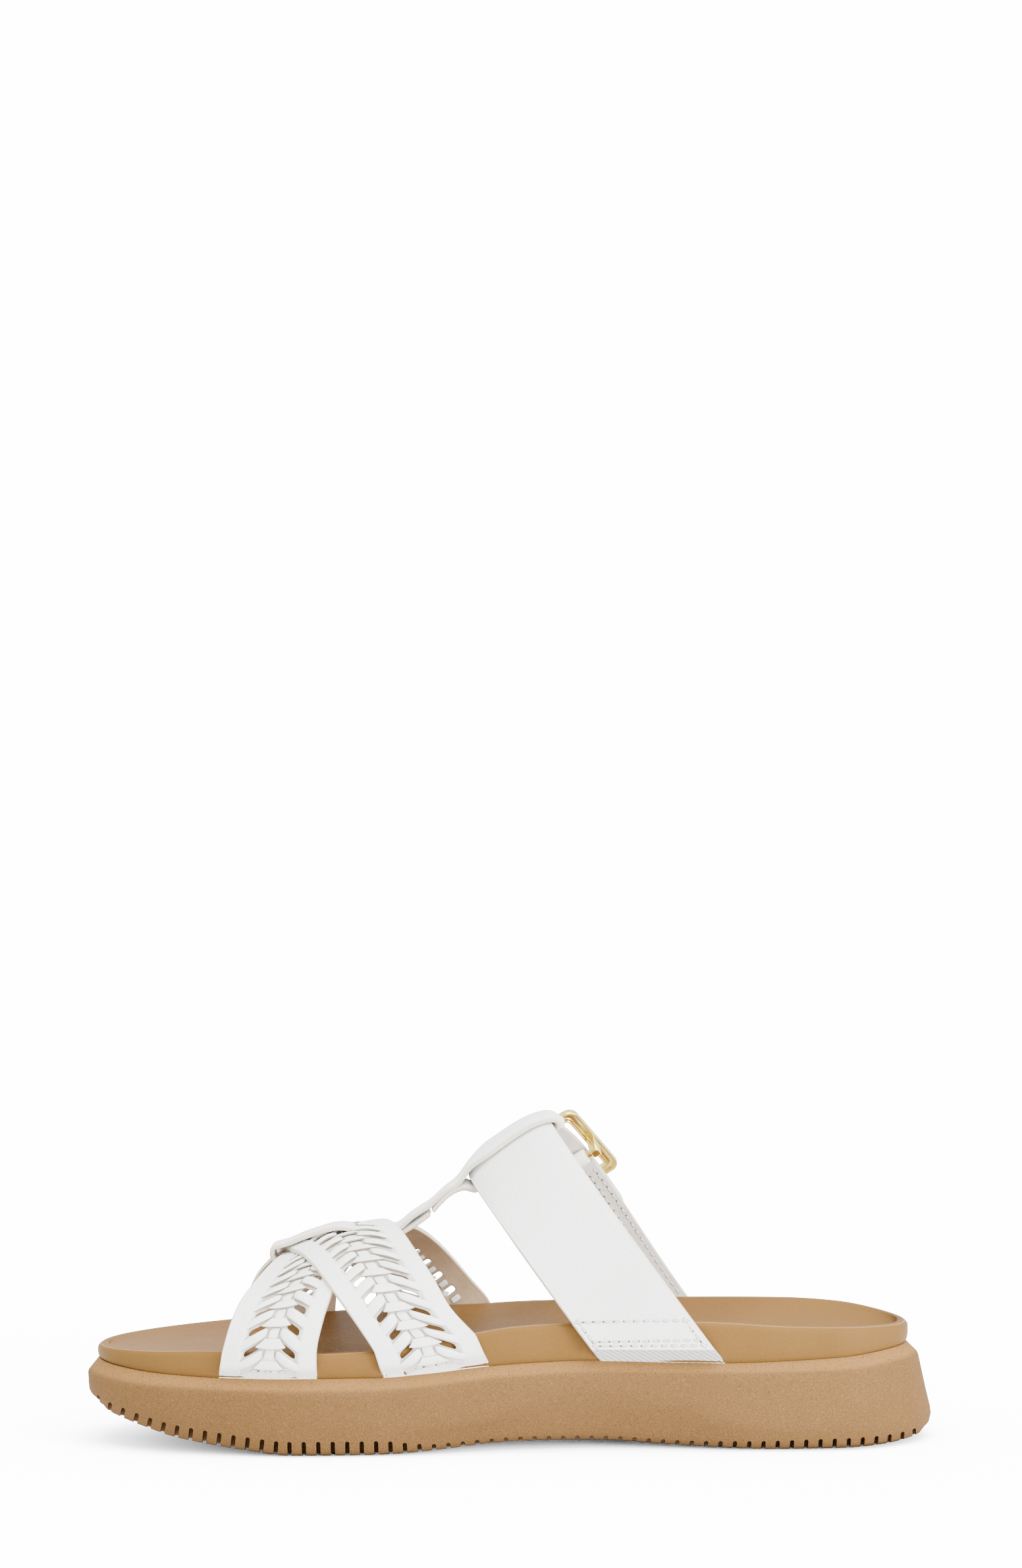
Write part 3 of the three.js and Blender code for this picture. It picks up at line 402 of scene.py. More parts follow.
class Shader:
    """A material and the one method that adds its nodes."""

    def __init__(self, name):
        self.material = bpy.data.materials.new(name)
        self.material.use_nodes = True
        self.tree = self.material.node_tree
        self.surface = self.tree.nodes["Principled BSDF"]
        self.place = self.node("ShaderNodeTexCoord", {}, output="Object")

    def node(self, kind, settings, *values, output=0, **named):
        node = self.tree.nodes.new(kind)
        for key, setting in settings.items():
            setattr(node, key, setting)
        for key, value in list(enumerate(values)) + list(named.items()):
            self.feed(node.inputs[key.replace("_", " ") if isinstance(key, str) else key], value)
        return Value(self, node.outputs[output])

    def feed(self, socket, value):
        if isinstance(value, Value):
            self.tree.links.new(value.socket, socket)
        elif value is not None:
            socket.default_value = value

    def noise(self, scale, detail=2, roughness=0.5, place=None, output=0):
        return self.node("ShaderNodeTexNoise", {}, Vector=place or self.place, Scale=scale, Detail=detail,
                         Roughness=roughness, output=output)

    def cells(self, scale, feature="F1", place=None, randomness=1.0, output=0):
        return self.node("ShaderNodeTexVoronoi", {"feature": feature}, Vector=place or self.place,
                         Scale=scale, Randomness=randomness, output=output)

    def attribute(self, name):
        return self.node("ShaderNodeAttribute", {"attribute_name": name}, output="Fac")

    def stretched(self, scale, turn=(0, 0, 0)):
        return self.node("ShaderNodeMapping", {}, Vector=self.place, Scale=scale, Rotation=turn)

    def blend(self, factor, a, b):
        mixer = self.tree.nodes.new("ShaderNodeMix")
        mixer.data_type = "RGBA"
        for socket, value in zip((mixer.inputs[0], mixer.inputs[6], mixer.inputs[7]), (factor, a, b)):
            self.feed(socket, value)
        return Value(self, mixer.outputs[2])

    def bump(self, height, distance, strength=1.0, normal=None):
        return self.node("ShaderNodeBump", {}, Strength=strength, Distance=distance, Height=height,
                         Normal=normal)

    def finish(self, constants=None, **named):
        for key, value in named.items():
            self.feed(self.surface.inputs[key.replace("_", " ")], value)
        for key, value in (constants or {}).items():
            self.surface.inputs[key].default_value = value
        return self.material


def colour(red, green, blue):
    """An sRGB colour from 0 to 255, as the shader wants it."""
    def linear(c):
        c = c / 255
        return c / 12.92 if c <= 0.04045 else ((c + 0.055) / 1.055) ** 2.4
    return (linear(red), linear(green), linear(blue), 1)


def leather_bump(shader, grain_scale, depth):
    """Pebbled grain with finer pores and a slow waviness."""
    pebbles = shader.cells(grain_scale, "SMOOTH_F1")
    pores = shader.noise(grain_scale * 2.4, 3, 0.6)
    waves = shader.noise(120, 2)
    height = pebbles * 0.55 + pores * 0.45 + waves * 0.8
    return shader.bump(height, depth * MM)


def white_leather():
    """Off-white grained leather with a beige painted edge."""
    shader = Shader("white_leather")
    edge = shader.attribute("edge_paint")
    cloud = shader.noise(35, 3)
    skin = shader.blend(cloud.above(0.3, 0.7), colour(239, 239, 236), colour(244, 244, 242))
    tone = shader.blend(edge, skin, colour(212, 203, 184))
    return shader.finish({"Specular IOR Level": 0.45}, Base_Color=tone,
                         Roughness=shader.noise(900, 2) * 0.14 + 0.46,
                         Normal=leather_bump(shader, 1150, 0.26))


def strip_leather():
    """The same leather where it is woven: smoother from stretching."""
    shader = Shader("strip_leather")
    cloud = shader.noise(35, 3)
    skin = shader.blend(cloud.above(0.3, 0.7), colour(237, 237, 234), colour(244, 244, 242))
    return shader.finish({"Specular IOR Level": 0.45}, Base_Color=skin,
                         Roughness=shader.noise(900, 2) * 0.14 + 0.44,
                         Normal=leather_bump(shader, 1150, 0.14))


def lining_leather():
    """Taupe lining inside the woven bands."""
    shader = Shader("lining_leather")
    cloud = shader.noise(60, 4, 0.6)
    tone = shader.blend(cloud.above(0.3, 0.7), colour(166, 141, 113), colour(184, 160, 132))
    return shader.finish({"Specular IOR Level": 0.3}, Base_Color=tone,
                         Roughness=shader.noise(700, 2) * 0.1 + 0.62,
                         Normal=leather_bump(shader, 1100, 0.1))


def pale_lining():
    """The whitish back of the straps and of the strips; on the woven bands' floor between the strips it is
    painted shade.
    """
    shader = Shader("pale_lining")
    cloud = shader.noise(200, 4, 0.7)
    tone = shader.blend(cloud.above(0.3, 0.7), colour(206, 198, 189), colour(224, 218, 211))
    return shader.finish({"Specular IOR Level": 0.25}, Base_Color=tone,
                         Roughness=shader.noise(900, 2) * 0.1 + 0.7,
                         Normal=leather_bump(shader, 1400, 0.12))


def tan_foam():
    """Moulded foam with a dense fine speckle and a slightly darker mottling."""
    shader = Shader("tan_foam")
    mottle = shader.noise(16, 4, 0.6)
    speckle = shader.noise(2600, 2, 0.7)
    grain = shader.cells(1500, output="Distance")
    wall = shader.blend(mottle.above(0.35, 0.65), colour(98, 71, 40), colour(104, 76, 44))
    # The rounded top edge of the sole is marked and turned a lighter tan.
    base = shader.blend(shader.attribute("edge_paint") * 0.5, wall, colour(152, 112, 62))
    dotted = shader.blend(speckle.above(0.52, 0.72), base, colour(83, 58, 30))
    tone = shader.blend(speckle.above(0.48, 0.28) * 0.6, dotted, colour(132, 102, 66))
    return shader.finish({"Specular IOR Level": 0.08}, Base_Color=tone,
                         Roughness=shader.noise(500, 2) * 0.12 + 0.72,
                         Normal=shader.bump(grain * 0.6 + speckle * 0.7, 0.07 * MM))


def tread_foam():
    """The same foam inside the tread slots, a little lighter than the wall as painted light in their deep
    shade.
    """
    shader = Shader("tread_foam")
    tone = shader.blend(shader.noise(900, 3), colour(104, 74, 44), colour(124, 92, 58))
    return shader.finish({"Specular IOR Level": 0.2}, Base_Color=tone,
                         Roughness=shader.noise(500, 2) * 0.1 + 0.8,
                         Normal=shader.bump(shader.noise(1500), 0.05 * MM))


def footbed_leather(name, dark, light, depth):
    """Fine grained leather; its rolled rim carries a painted highlight, a lighter line."""
    shader = Shader(name)
    cloud = shader.noise(22, 4, 0.55)
    rim_highlight = shader.attribute("edge_paint")
    pores = shader.noise(2100, 2, 0.6)
    skin = shader.blend(cloud.above(0.3, 0.7), dark, light)
    dusty = shader.blend(pores.above(0.55, 0.75) * 0.35, skin, colour(84, 56, 24))
    tone = shader.blend(rim_highlight ** 3 * 0.6, dusty, colour(176, 142, 92))
    return shader.finish({"Specular IOR Level": 0.05}, Base_Color=tone,
                         Roughness=shader.noise(700, 2) * 0.14 + 0.42,
                         Normal=leather_bump(shader, 1700, depth))


def elastic_weave():
    """Woven elastic: diagonal ribs across fine threads."""
    shader = Shader("elastic_weave")
    ribs = shader.node("ShaderNodeTexWave", {"bands_direction": "X"}, Scale=300,
                       Vector=shader.stretched((1, 1, 1), (0, math.radians(58), 0)), Distortion=0.4)
    threads = shader.node("ShaderNodeTexWave", {"bands_direction": "X"}, Scale=560,
                          Vector=shader.stretched((1, 1, 1), (0, math.radians(-24), 0)), Distortion=0.3)
    weave = ribs * 0.7 + threads * 0.3
    tone = shader.blend(weave.above(0.15, 0.75), colour(168, 169, 168), colour(212, 212, 209))
    return shader.finish({"Sheen Weight": 0.2, "Specular IOR Level": 0.2}, Base_Color=tone,
                         Roughness=weave * -0.1 + 0.88, Normal=shader.bump(weave, 0.1 * MM))


def light_gold():
    """Light gold plating, brushed soft, with faint handling marks."""
    shader = Shader("light_gold")
    haze = shader.noise(260, 4, 0.65)
    brush = shader.noise(900, 3, 0.6, shader.stretched((0.3, 4, 1)))
    tone = shader.blend(haze.above(0.3, 0.7), colour(230, 210, 124), colour(242, 224, 140))
    return shader.finish({"Metallic": 1.0}, Base_Color=tone,
                         Roughness=haze * 0.12 + brush * 0.08 + 0.13,
                         Normal=shader.bump(brush, 0.012 * MM))


def plain(name, tone, rough):
    """A small detail in one colour, a little uneven."""
    shader = Shader(name)
    lighter = tuple(min(1, 1.12 * c) for c in tone[:3]) + (1,)
    return shader.finish({"Specular IOR Level": 0.3},
                         Base_Color=shader.blend(shader.noise(1200, 2), tone, lighter),
                         Roughness=shader.noise(1500) * 0.1 + rough,
                         Normal=shader.bump(shader.noise(3000), 0.03 * MM))


WHITE = white_leather()
STRIP = strip_leather()
LINING = lining_leather()
PALE_AND_SHADE = pale_lining()
FOAM = tan_foam()
TREAD = tread_foam()
BED_TOP = footbed_leather("footbed_top", colour(103, 73, 35), colour(111, 80, 41), 0.16)
BED_WALL = footbed_leather("footbed_wall", colour(104, 75, 36), colour(111, 81, 41), 0.07)
ELASTIC = elastic_weave()
GOLD = light_gold()
THREAD = plain("white_thread", colour(226, 225, 218), 0.6)
# Pinholes and stitch grooves: darker beads that are painted shade of the holes and of the groove.
PINHOLE_SHADE = plain("pinhole", colour(96, 90, 80), 0.9)
GROOVE_SHADE = plain("stitch_groove", colour(176, 172, 162), 0.8)
# Cut sides of the woven strips: raw leather colour, darkened as painted shade along their outlines.
RAW_EDGE_AND_SHADE = plain("raw_edge", colour(158, 149, 133), 0.8)


# Sole and footbed: rings round the outline, closed by lines across
def ring_body(name, rings, top_lines, height, materials, index_of, paint_of=None):
    last = len(TURNS) - 1
    count = 2 * last
    points, faces, indices, paint = [], [], [], []

    def slot(k, side):
        return k if side < 0 or k in (0, last) else count - k

    for r, ring in enumerate(rings):
        order = [(k, -1) for k in range(last + 1)] + [(k, 1) for k in range(last - 1, 0, -1)]
        for k, side in order:
            points.append(ring(TURNS[k], side))
            paint.append(paint_of(r) if paint_of else 0)
    for r in range(len(rings) - 1):
        for i in range(count):
            a, b = r * count + i, r * count + (i + 1) % count
            faces.append((a, b, b + count, a + count))
            indices.append(index_of(r))

    def cap(base, lines, shape, index, flip):
        rows = []
        for k in range(1, last):
            start, end = points[base + slot(k, -1)], points[base + slot(k, 1)]
            row = [base + slot(k, -1)]
            for share in lines:
                p = start.lerp(end, share)
                if shape:
                    p.z = shape(p.x, share, p.z)
                points.append(p)
                paint.append(0)
                row.append(len(points) - 1)
            rows.append(row + [base + slot(k, 1)])
        found = []
        for a, b in zip(rows, rows[1:]):
            found += [(a[j], a[j + 1], b[j + 1], b[j]) for j in range(len(a) - 1)]
        found += [(base + slot(0, -1), rows[0][j + 1], rows[0][j]) for j in range(len(rows[0]) - 1)]
        found += [(base + slot(last, -1), rows[-1][j], rows[-1][j + 1]) for j in range(len(rows[0]) - 1)]
        for face in found:
            faces.append(face[::-1] if flip else face)
            indices.append(index)

    cap(0, span(0, 1, 8)[1:-1], None, index_of(0), False)
    cap((len(rings) - 1) * count, top_lines, height, index_of(len(rings)), True)
    return new_object(name, points, faces, materials, indices, paint)


def ring_at(inset_of, height_of):
    def ring(turn, side):
        point, inward = RIM[turn, side]
        p = point + inward * inset_of(turn, side)
        return Vector((p.x, p.y, height_of(p.x, turn, side)))
    return ring


def sole_profile(turn, side):
    """Inset and height stations up the wall, from the ground edge to the joint with the footbed."""
    scoop = ARCH_SCOOP * WALL.read("scoop", turn) * (1 if side < 0 else 0.4)
    return (
        (WALL.read("foot", turn) * BEVEL_RUN + scoop, 0, "lift"),
        (WALL.read("curl", turn) * BEVEL_RUN + scoop, WALL.read("curl_up", turn), "lift"),
        (WALL.read("low", turn) * BEVEL_RUN + scoop, WALL.read("low_up", turn), "lift"),
        (WALL.read("waist", turn) * BEVEL_RUN, WALL.read("waist_up", turn), None),
        (crease_inset(turn), 0, "crease"),
        (ledge_inset(turn), 0, "top"),
    )


PROFILES = {key: sole_profile(*key) for key in RIM}


def station(turn, side, i, x):
    inset, up, base = PROFILES[turn, side][i]
    return Vector((inset, (sole_z(x, base) if base else 0) + up * SOLE_HEIGHT))


def wall_ring(i, share):
    """A ring between two stations of the wall; all but the crease is rounded by its neighbours."""
    def ring(turn, side):
        point, inward = RIM[turn, side]
        x = (point + inward * PROFILES[turn, side][min(i, 5)][0]).x
        b, c = station(turn, side, i, x), station(turn, side, i + 1, x)
        a = station(turn, side, i - 1, x) if i > 0 else b * 2 - c
        d = station(turn, side, i + 2, x) if i < 3 else c * 2 - b
        if i == 4:
            at = b.lerp(c, share)
        else:
            t = share
            at = (b * 2 + (c - a) * t + (a * 2 - b * 5 + c * 4 - d) * t**2
                  + (b * 3 - a - c * 3 + d) * t**3) * 0.5
        p = point + inward * at.x
        return Vector((p.x, p.y, at.y))
    return ring


def slot_cutters():
    """Grooves with rounded tops, square to the sole's lower line."""
    points, faces = [], []
    reach = SOLE_LENGTH - 1.5 * SLOT_PITCH
    half = SLOT_WIDTH / 2
    for i in range(int(reach / SLOT_PITCH) + 1):
        x = -reach / 2 + i * SLOT_PITCH
        turn = math.degrees(math.acos(-2 * x / SOLE_LENGTH))
        depth = SLOT_DEPTH * WALL.read("slot", turn) + 0.2
        slope = math.atan2(sole_z(x + 1, "lift") - sole_z(x - 1, "lift"), 2)
        arc = [(half * math.cos(a), depth - half + half * math.sin(a)) for a in span(0, math.pi, 6)]
        section = [(-half, -3), (half, -3)] + arc
        n = len(section)
        for side in (-1, 1):
            base = len(points)
            blind = outline_point(turn, side).y - side * SLOT_REACH
            for y in (side * 0.6 * SOLE_WIDTH, blind if side * blind > 1 else side):
                for u, v in section:
                    points.append(Vector((
                        x + u * math.cos(slope) - v * math.sin(slope), y,
                        sole_z(x, "lift") + u * math.sin(slope) + v * math.cos(slope))))
            faces += [(base + j, base + (j + 1) % n, base + n + (j + 1) % n, base + n + j) for j in range(n)]
            faces += [tuple(base + j for j in range(n))[::-1], tuple(base + n + j for j in range(n))]
    return face_out(new_object("slot_cutters", points, faces, [TREAD]))


def make_sole():
    rings = [wall_ring(0, s) for s in (0, 0.35, 0.7)]
    rings += [wall_ring(1, s) for s in (0, 0.5)]
    rings += [wall_ring(2, s) for s in (0, 0.33, 0.67)]
    rings += [wall_ring(3, s) for s in (0, 0.25, 0.5, 0.75, 0.93)]
    rings += [wall_ring(4, s) for s in (0.06, 0.35, 0.7, 0.94)]
    rings.append(ring_at(lambda t, s: ledge_inset(t) + 0.25, lambda x, t, s: sole_z(x, "top") + 0.02))
    rings.append(ring_at(lambda t, s: ledge_inset(t) + 5, lambda x, t, s: sole_z(x, "top") - 0.3))
    sole = face_out(ring_body("sole_body", rings, span(0, 1, 4)[1:-1], None, [FOAM, TREAD], lambda r: 0,
                              lambda r: 1 if r >= len(rings) - 5 else 0))
    cutters = slot_cutters()
    cut = sole.modifiers.new("slots", "BOOLEAN")
    cut.operation = "DIFFERENCE"
    cut.object = cutters
    cut.solver = "EXACT"
    cut.material_mode = "TRANSFER"
    apply_all(sole)
    bpy.data.objects.remove(cutters)
    sole.data.set_sharp_from_angle(angle=math.radians(38))
    finish_piece(sole, "sole", slot="foam")


def make_footbed():
    lean = RIM_OVERHANG
    rings = [ring_at(lambda t, s: ledge_inset(t) + 0.5, lambda x, t, s: sole_z(x, "top") - 0.1),
             ring_at(lambda t, s: ledge_inset(t) + 0.05, lambda x, t, s: sole_z(x, "top") + 0.35)]
    for up in (0.15, 0.4, 0.65, 0.85):
        rings.append(ring_at(
            lambda t, s, up=up: ledge_inset(t) - lean * up - 0.25 * math.sin(math.pi * up),
            lambda x, t, s, up=up: mix(sole_z(x, "top"), rim_z(x, s) - RIM_ROUND, up)))
    roll = [math.radians(a) for a in (0, 22, 45, 67, 90)]
    for a in roll:
        rings.append(ring_at(
            lambda t, s, a=a: ledge_inset(t) - lean + RIM_ROUND * (1 - math.cos(a)),
            lambda x, t, s, a=a: rim_z(x, s) - RIM_ROUND * (1 - math.sin(a))))
    rings.append(ring_at(lambda t, s: ledge_inset(t) - lean + 2 * RIM_ROUND,
                         lambda x, t, s: rim_z(x, s) - 0.12))

    def dish(x, share, z):
        across = abs(2 * share - 1)
        depth = DISH_DEPTH * BED.read("dish", share_along(x))
        ends = math.sqrt(max(0, 1 - (2 * x / SOLE_LENGTH) ** 6))
        return z - depth * ends * (1 - across**2.4)

    lines = [0.5 - 0.5 * math.cos(math.radians(a)) for a in span(0, 180, 26)][1:-1]
    wall_rings = len(rings) - 4
    # One ring on the rim's roll is marked for the painted highlight along the rim.
    bed = ring_body("footbed_body", rings, lines, dish, [BED_WALL, BED_TOP],
                    lambda r: 0 if r < wall_rings else 1,
                    lambda r: 1 if r == wall_rings + 1 else 0)
    face_out(bed)
    finish_piece(bed, "footbed", slot="tan_leather")


# Straps over the forefoot
def strap_wall_y(x, side, down):
    drop = rim_z(x, side) - sole_z(x, "top")
    out = mix(RIM_OVERHANG + 2 * CLEARANCE, -WALL_INSET, smooth(down / drop, 0.5, 1))
    return wall_y(x, side) + side * out


def tunnel_point(x, turn):
    if turn < 0:
        return Vector((x, strap_wall_y(x, -1, -turn), rim_z(x, -1) + turn))
    if turn > 180:
        return Vector((x, strap_wall_y(x, 1, turn - 180), rim_z(x, 1) + 180 - turn))
    share = (1 - math.cos(math.radians(turn))) / 2
    base = mix(rim_z(x, -1), rim_z(x, 1), share)
    crest = TUNNEL.read("crest", share_along(x)) * BAND_CREST
    y = mix(strap_wall_y(x, -1, 0), strap_wall_y(x, 1, 0), share)
    return Vector((x, y, base + (crest - base) * math.sin(math.radians(turn))))


def tunnel_normal(x, turn):
    t = min(181, max(-1, turn))
    around = tunnel_point(x, t + 1) - tunnel_point(x, t - 1)
    along = tunnel_point(x + 1, t) - tunnel_point(x - 1, t)
    return along.cross(around).normalized()


class Band:
    """One woven band: c runs across it in millimetres, s along it from its medial foot."""

    def __init__(self, name):
        self.name = name
        self.feet = [self.foot(-1), self.foot(1)]
        self.marks = []
        length, before = 0, None
        steps = int(2 * (self.feet[1] - self.feet[0]))
        for turn in span(*self.feet, steps):
            p = tunnel_point(self.x_at(turn, 0), turn)
            length += (p - before).length if before else 0
            self.marks.append((length, turn))
            before = p
        self.length = length

    def edge(self, turn, which):
        return (EDGES.read(f"{self.name}_{which}", turn) - 0.5) * SOLE_LENGTH

    def foot(self, side):
        turn = -10 if side < 0 else 190
        x = (self.edge(turn, "front") + self.edge(turn, "rear")) / 2
        down = rim_z(x, side) - sole_z(x, "top") + TUCK
        return -down if side < 0 else 180 + down

    def x_at(self, turn, c):
        return mix(self.edge(turn, "front"), self.edge(turn, "rear"), 0.5 + c / BAND_WIDTH)

    def turn_at(self, s):
        s = min(self.length, max(0, s))
        low, high = 0, len(self.marks) - 1
        while high - low > 1:
            middle = (low + high) // 2
            low, high = (middle, high) if self.marks[middle][0] < s else (low, middle)
        (s0, t0), (s1, t1) = self.marks[low], self.marks[high]
        return mix(t0, t1, (s - s0) / (s1 - s0))

    def lift(self, turn):
        if self.name == "low":
            return 0
        return TOP_LIFT * smooth(turn, 16, 33) * (1 - smooth(turn, 147, 164))

    def point(self, c, s, h):
        turn = self.turn_at(s)
        x = self.x_at(turn, c)
        if self.name == "low":
            over = EDGES.read("top_front", turn), EDGES.read("top_rear", turn)
            covered = smooth(share_along(x), over[0] - 0.004, over[0] + 0.006) * (
                1 - smooth(share_along(x), over[1] - 0.006, over[1] + 0.004))
            h = mix(h, min(h, 1.3), covered)
        return tunnel_point(x, turn) + tunnel_normal(x, turn) * (self.lift(turn) + h)


EDGE_STEPS = ((0, 0.5), (0.06, 0.22), (0.22, 0.06), (0.5, 0), (0.95, 0.02), (1.15, 0.1), (1.35, 0.02), (2, 0))


def across_columns(width, inner):
    """Columns across a strap: its rolled edge with a fine turned line, then its middle."""
    half = width / 2
    left = [(-half + run, drop) for run, drop in EDGE_STEPS]
    right = [(half - run, drop) for run, drop in EDGE_STEPS][::-1]
    return left + [(c, 0) for c in inner] + right


WEAVE_PITCH = 6.4
TONGUE_HALF = 1.75
TONGUE_CENTRE = 0.9
WOVEN_HALF = 9.5
FLOOR_HALF = 9
MARGIN_TOP = 1.66
FLOOR_TOP = 0.7
SLANT = math.tan(math.radians(31))
HOLE_ROWS = (-3.3, -1.35)
FIRST_UNIT = {"low": 6.6, "top": 6.4}
UNITS = {"low": 21, "top": 20}


def chevron(c):
    return SLANT * max(0, WOVEN_HALF - abs(c))


def band_wall(band):
    """The band's leather: two margins, and between them a lower floor with a hole under each gap."""
    inner = [-11.5, -10.3, -9.9, -9.4, -8.9, -8.6, -7, -5.2, -3.6, -1.8, 0]
    inner += [-c for c in inner[-2::-1]]
    columns = across_columns(BAND_WIDTH, [-13] + inner + [13])
    holes = {j for j, (c, _) in enumerate(columns[:-1])
             if 3.5 <= abs((c + columns[j + 1][0]) / 2) <= 8.6 and abs(c) < 8.7}
    start = FIRST_UNIT[band.name] + HOLE_ROWS[0]
    rows = [(s, 0, False) for s in span(0, start, 7)[:-1]]
    for unit in range(UNITS[band.name]):
        base = FIRST_UNIT[band.name] + unit * WEAVE_PITCH
        for step, hole in ((HOLE_ROWS[0], True), (HOLE_ROWS[1], False), (-0.3, False), (0.9, False),
                           (2.1, False)):
            rows.append((base + step, 1, hole and unit > 0))
    last = FIRST_UNIT[band.name] + UNITS[band.name] * WEAVE_PITCH + HOLE_ROWS[0]
    rows.append((last, 1, False))
    rows += [(s, 0, False) for s in span(last, band.length, 7)[1:]]
    outer, under = [], []
    margin_end = rows[6][0]
    for s, _, _ in rows:
        fade = smooth(s, 2, margin_end + 1) * (1 - smooth(s, last, last + 9))
        shape = []
        for c, drop in columns:
            woven = 1 - smooth(abs(c), 8.9, 9.9)
            zone = woven * smooth(s, start + 1.2, start + 3.3) * (1 - smooth(s, last - 1, last + 2.5))
            top = mix(MARGIN_TOP, FLOOR_TOP, zone) - drop
            shape.append((c, s + chevron(c) * fade, top))
        outer.append([band.point(c, along, top) for c, along, top in shape])
        under.append([band.point(c, along, min(0.5 * drop, 0.15))
                      for (c, along, _), (_, drop) in zip(shape, columns)])
    count = len(columns)
    inside = {j for j, (c, _) in enumerate(columns) if abs(c) < FLOOR_HALF}
    floor_rows = {i for i, row in enumerate(rows) if row[1]}

    def keep(i, j):
        if rows[i][2] and j in holes:
            return False
        return not hidden_by_t(band, outer[i][j])

    def material(face, side):
        """White leather outside, lining inside, pale leather round the holes, and the pale colour on the
        floor between the strips as painted shade.
        """
        if side == 0:
            # The floor between the strips gets the pale colour as painted shade.
            return 2 if all(v // count in floor_rows and v % count in inside for v in face) else 0
        if side == 2:
            return 2 if face[0] % count in inside else 0
        return 1

    points, faces, sides = slab(outer, under, keep)
    return new_object(f"{band.name}_wall", points, faces, [WHITE, LINING, PALE_AND_SHADE],
                      [material(face, side) for face, side in zip(faces, sides)],
                      painted_edges(len(points), count))


def hidden_by_t(band, point):
    """Leather that the T-strap runs through or covers, out of sight."""
    if abs(point.y) > T_HALF_WIDTH + 0.1:
        return False
    if band.name == "top":
        return SLIT_FRONT < point.x < SLIT_REAR
    return point.x > SLIT_FRONT and point.z > SLIT_HEIGHT


def patch(points, faces, raw_shaded, grid, thickness):
    """Adds a curved leaf of leather with raw edges, marked for a colour that is raw leather and painted
    shade: a grid of (c, s, h) with its own thickness.
    """
    under = [[(c, s, h - thickness) for c, s, h in row] for row in grid]
    more, quads, sides = slab(grid, under)
    base = len(points)
    points += more
    faces += [tuple(base + v for v in face) for face in quads]
    raw_shaded += [side == 2 for side in sides]


def weave_unit():
    """One link of the braid, flat: two side tongues, their ends inside, the flared strip and its neck."""
    points, faces, raw_shaded = [], [], []
    for side in (-1, 1):
        grid = []
        for u in (0, 0.07, 0.2, 0.4, 0.6, 0.8, 0.93, 1):
            row = []
            for v in span(-1, 1, 4):
                tip = math.sqrt(1 - (1 - min(1, u / 0.22)) ** 2)
                half = TONGUE_HALF * mix(0.42, 1, tip) * mix(1, 0.94, smooth(u, 0.6, 1))
                c = 2.05 + 8.4 * u + 0.25 * (1 - tip)
                centre = TONGUE_CENTRE + SLANT * (WOVEN_HALF - c)
                rise = mix(1.75, 2.3, smooth(u, 0, 0.28)) - 0.75 * smooth(u, 0.5, 1.0)
                crown = 0.3 * v * v * (1 - smooth(u, 0.85, 1))
                row.append((side * c, centre + half * v, rise - crown))
            grid.append(row)
        patch(points, faces, raw_shaded, grid, 0.7)
    for side in (-1, 1):
        grid = []
        for u in span(0, 1, 2):
            c = mix(4.1, 8.3, u)
            centre = TONGUE_CENTRE + SLANT * (WOVEN_HALF - c)
            grid.append([(side * c, centre + v, 0.1 - 0.1 * v * v) for v in span(-1.1, 1.1, 2)])
        patch(points, faces, raw_shaded, grid, 0.45)
    grid = []
    for u in span(0, 1, 4):
        half = mix(5.7, 2.6, u**0.8)
        row = []
        for v in span(-1, 1, 6):
            s = 0.1 + 3.3 * u + 0.55 * v * v * (1 - u)
            rise = mix(2.0, 1.5, u**0.8) - mix(0.5, 0.05, u) * v * v
            row.append((half * v, s, rise))
        grid.append(row)
    patch(points, faces, raw_shaded, grid, 0.6)
    grid = []
    for u in span(0, 1, 2):
        row = []
        for v in span(-1, 1, 2):
            row.append((1.95 * v, 3.0 + 4.0 * u, mix(1.3, 1.1, u) - 0.08 * v * v))
        grid.append(row)
    patch(points, faces, raw_shaded, grid, 0.5)
    unit = new_object("weave_unit", points, faces, [STRIP])
    cut = unit.data.attributes.new("raw_edge", "BOOLEAN", "FACE")
    cut.data.foreach_set("value", raw_shaded)
    return face_out(unit)


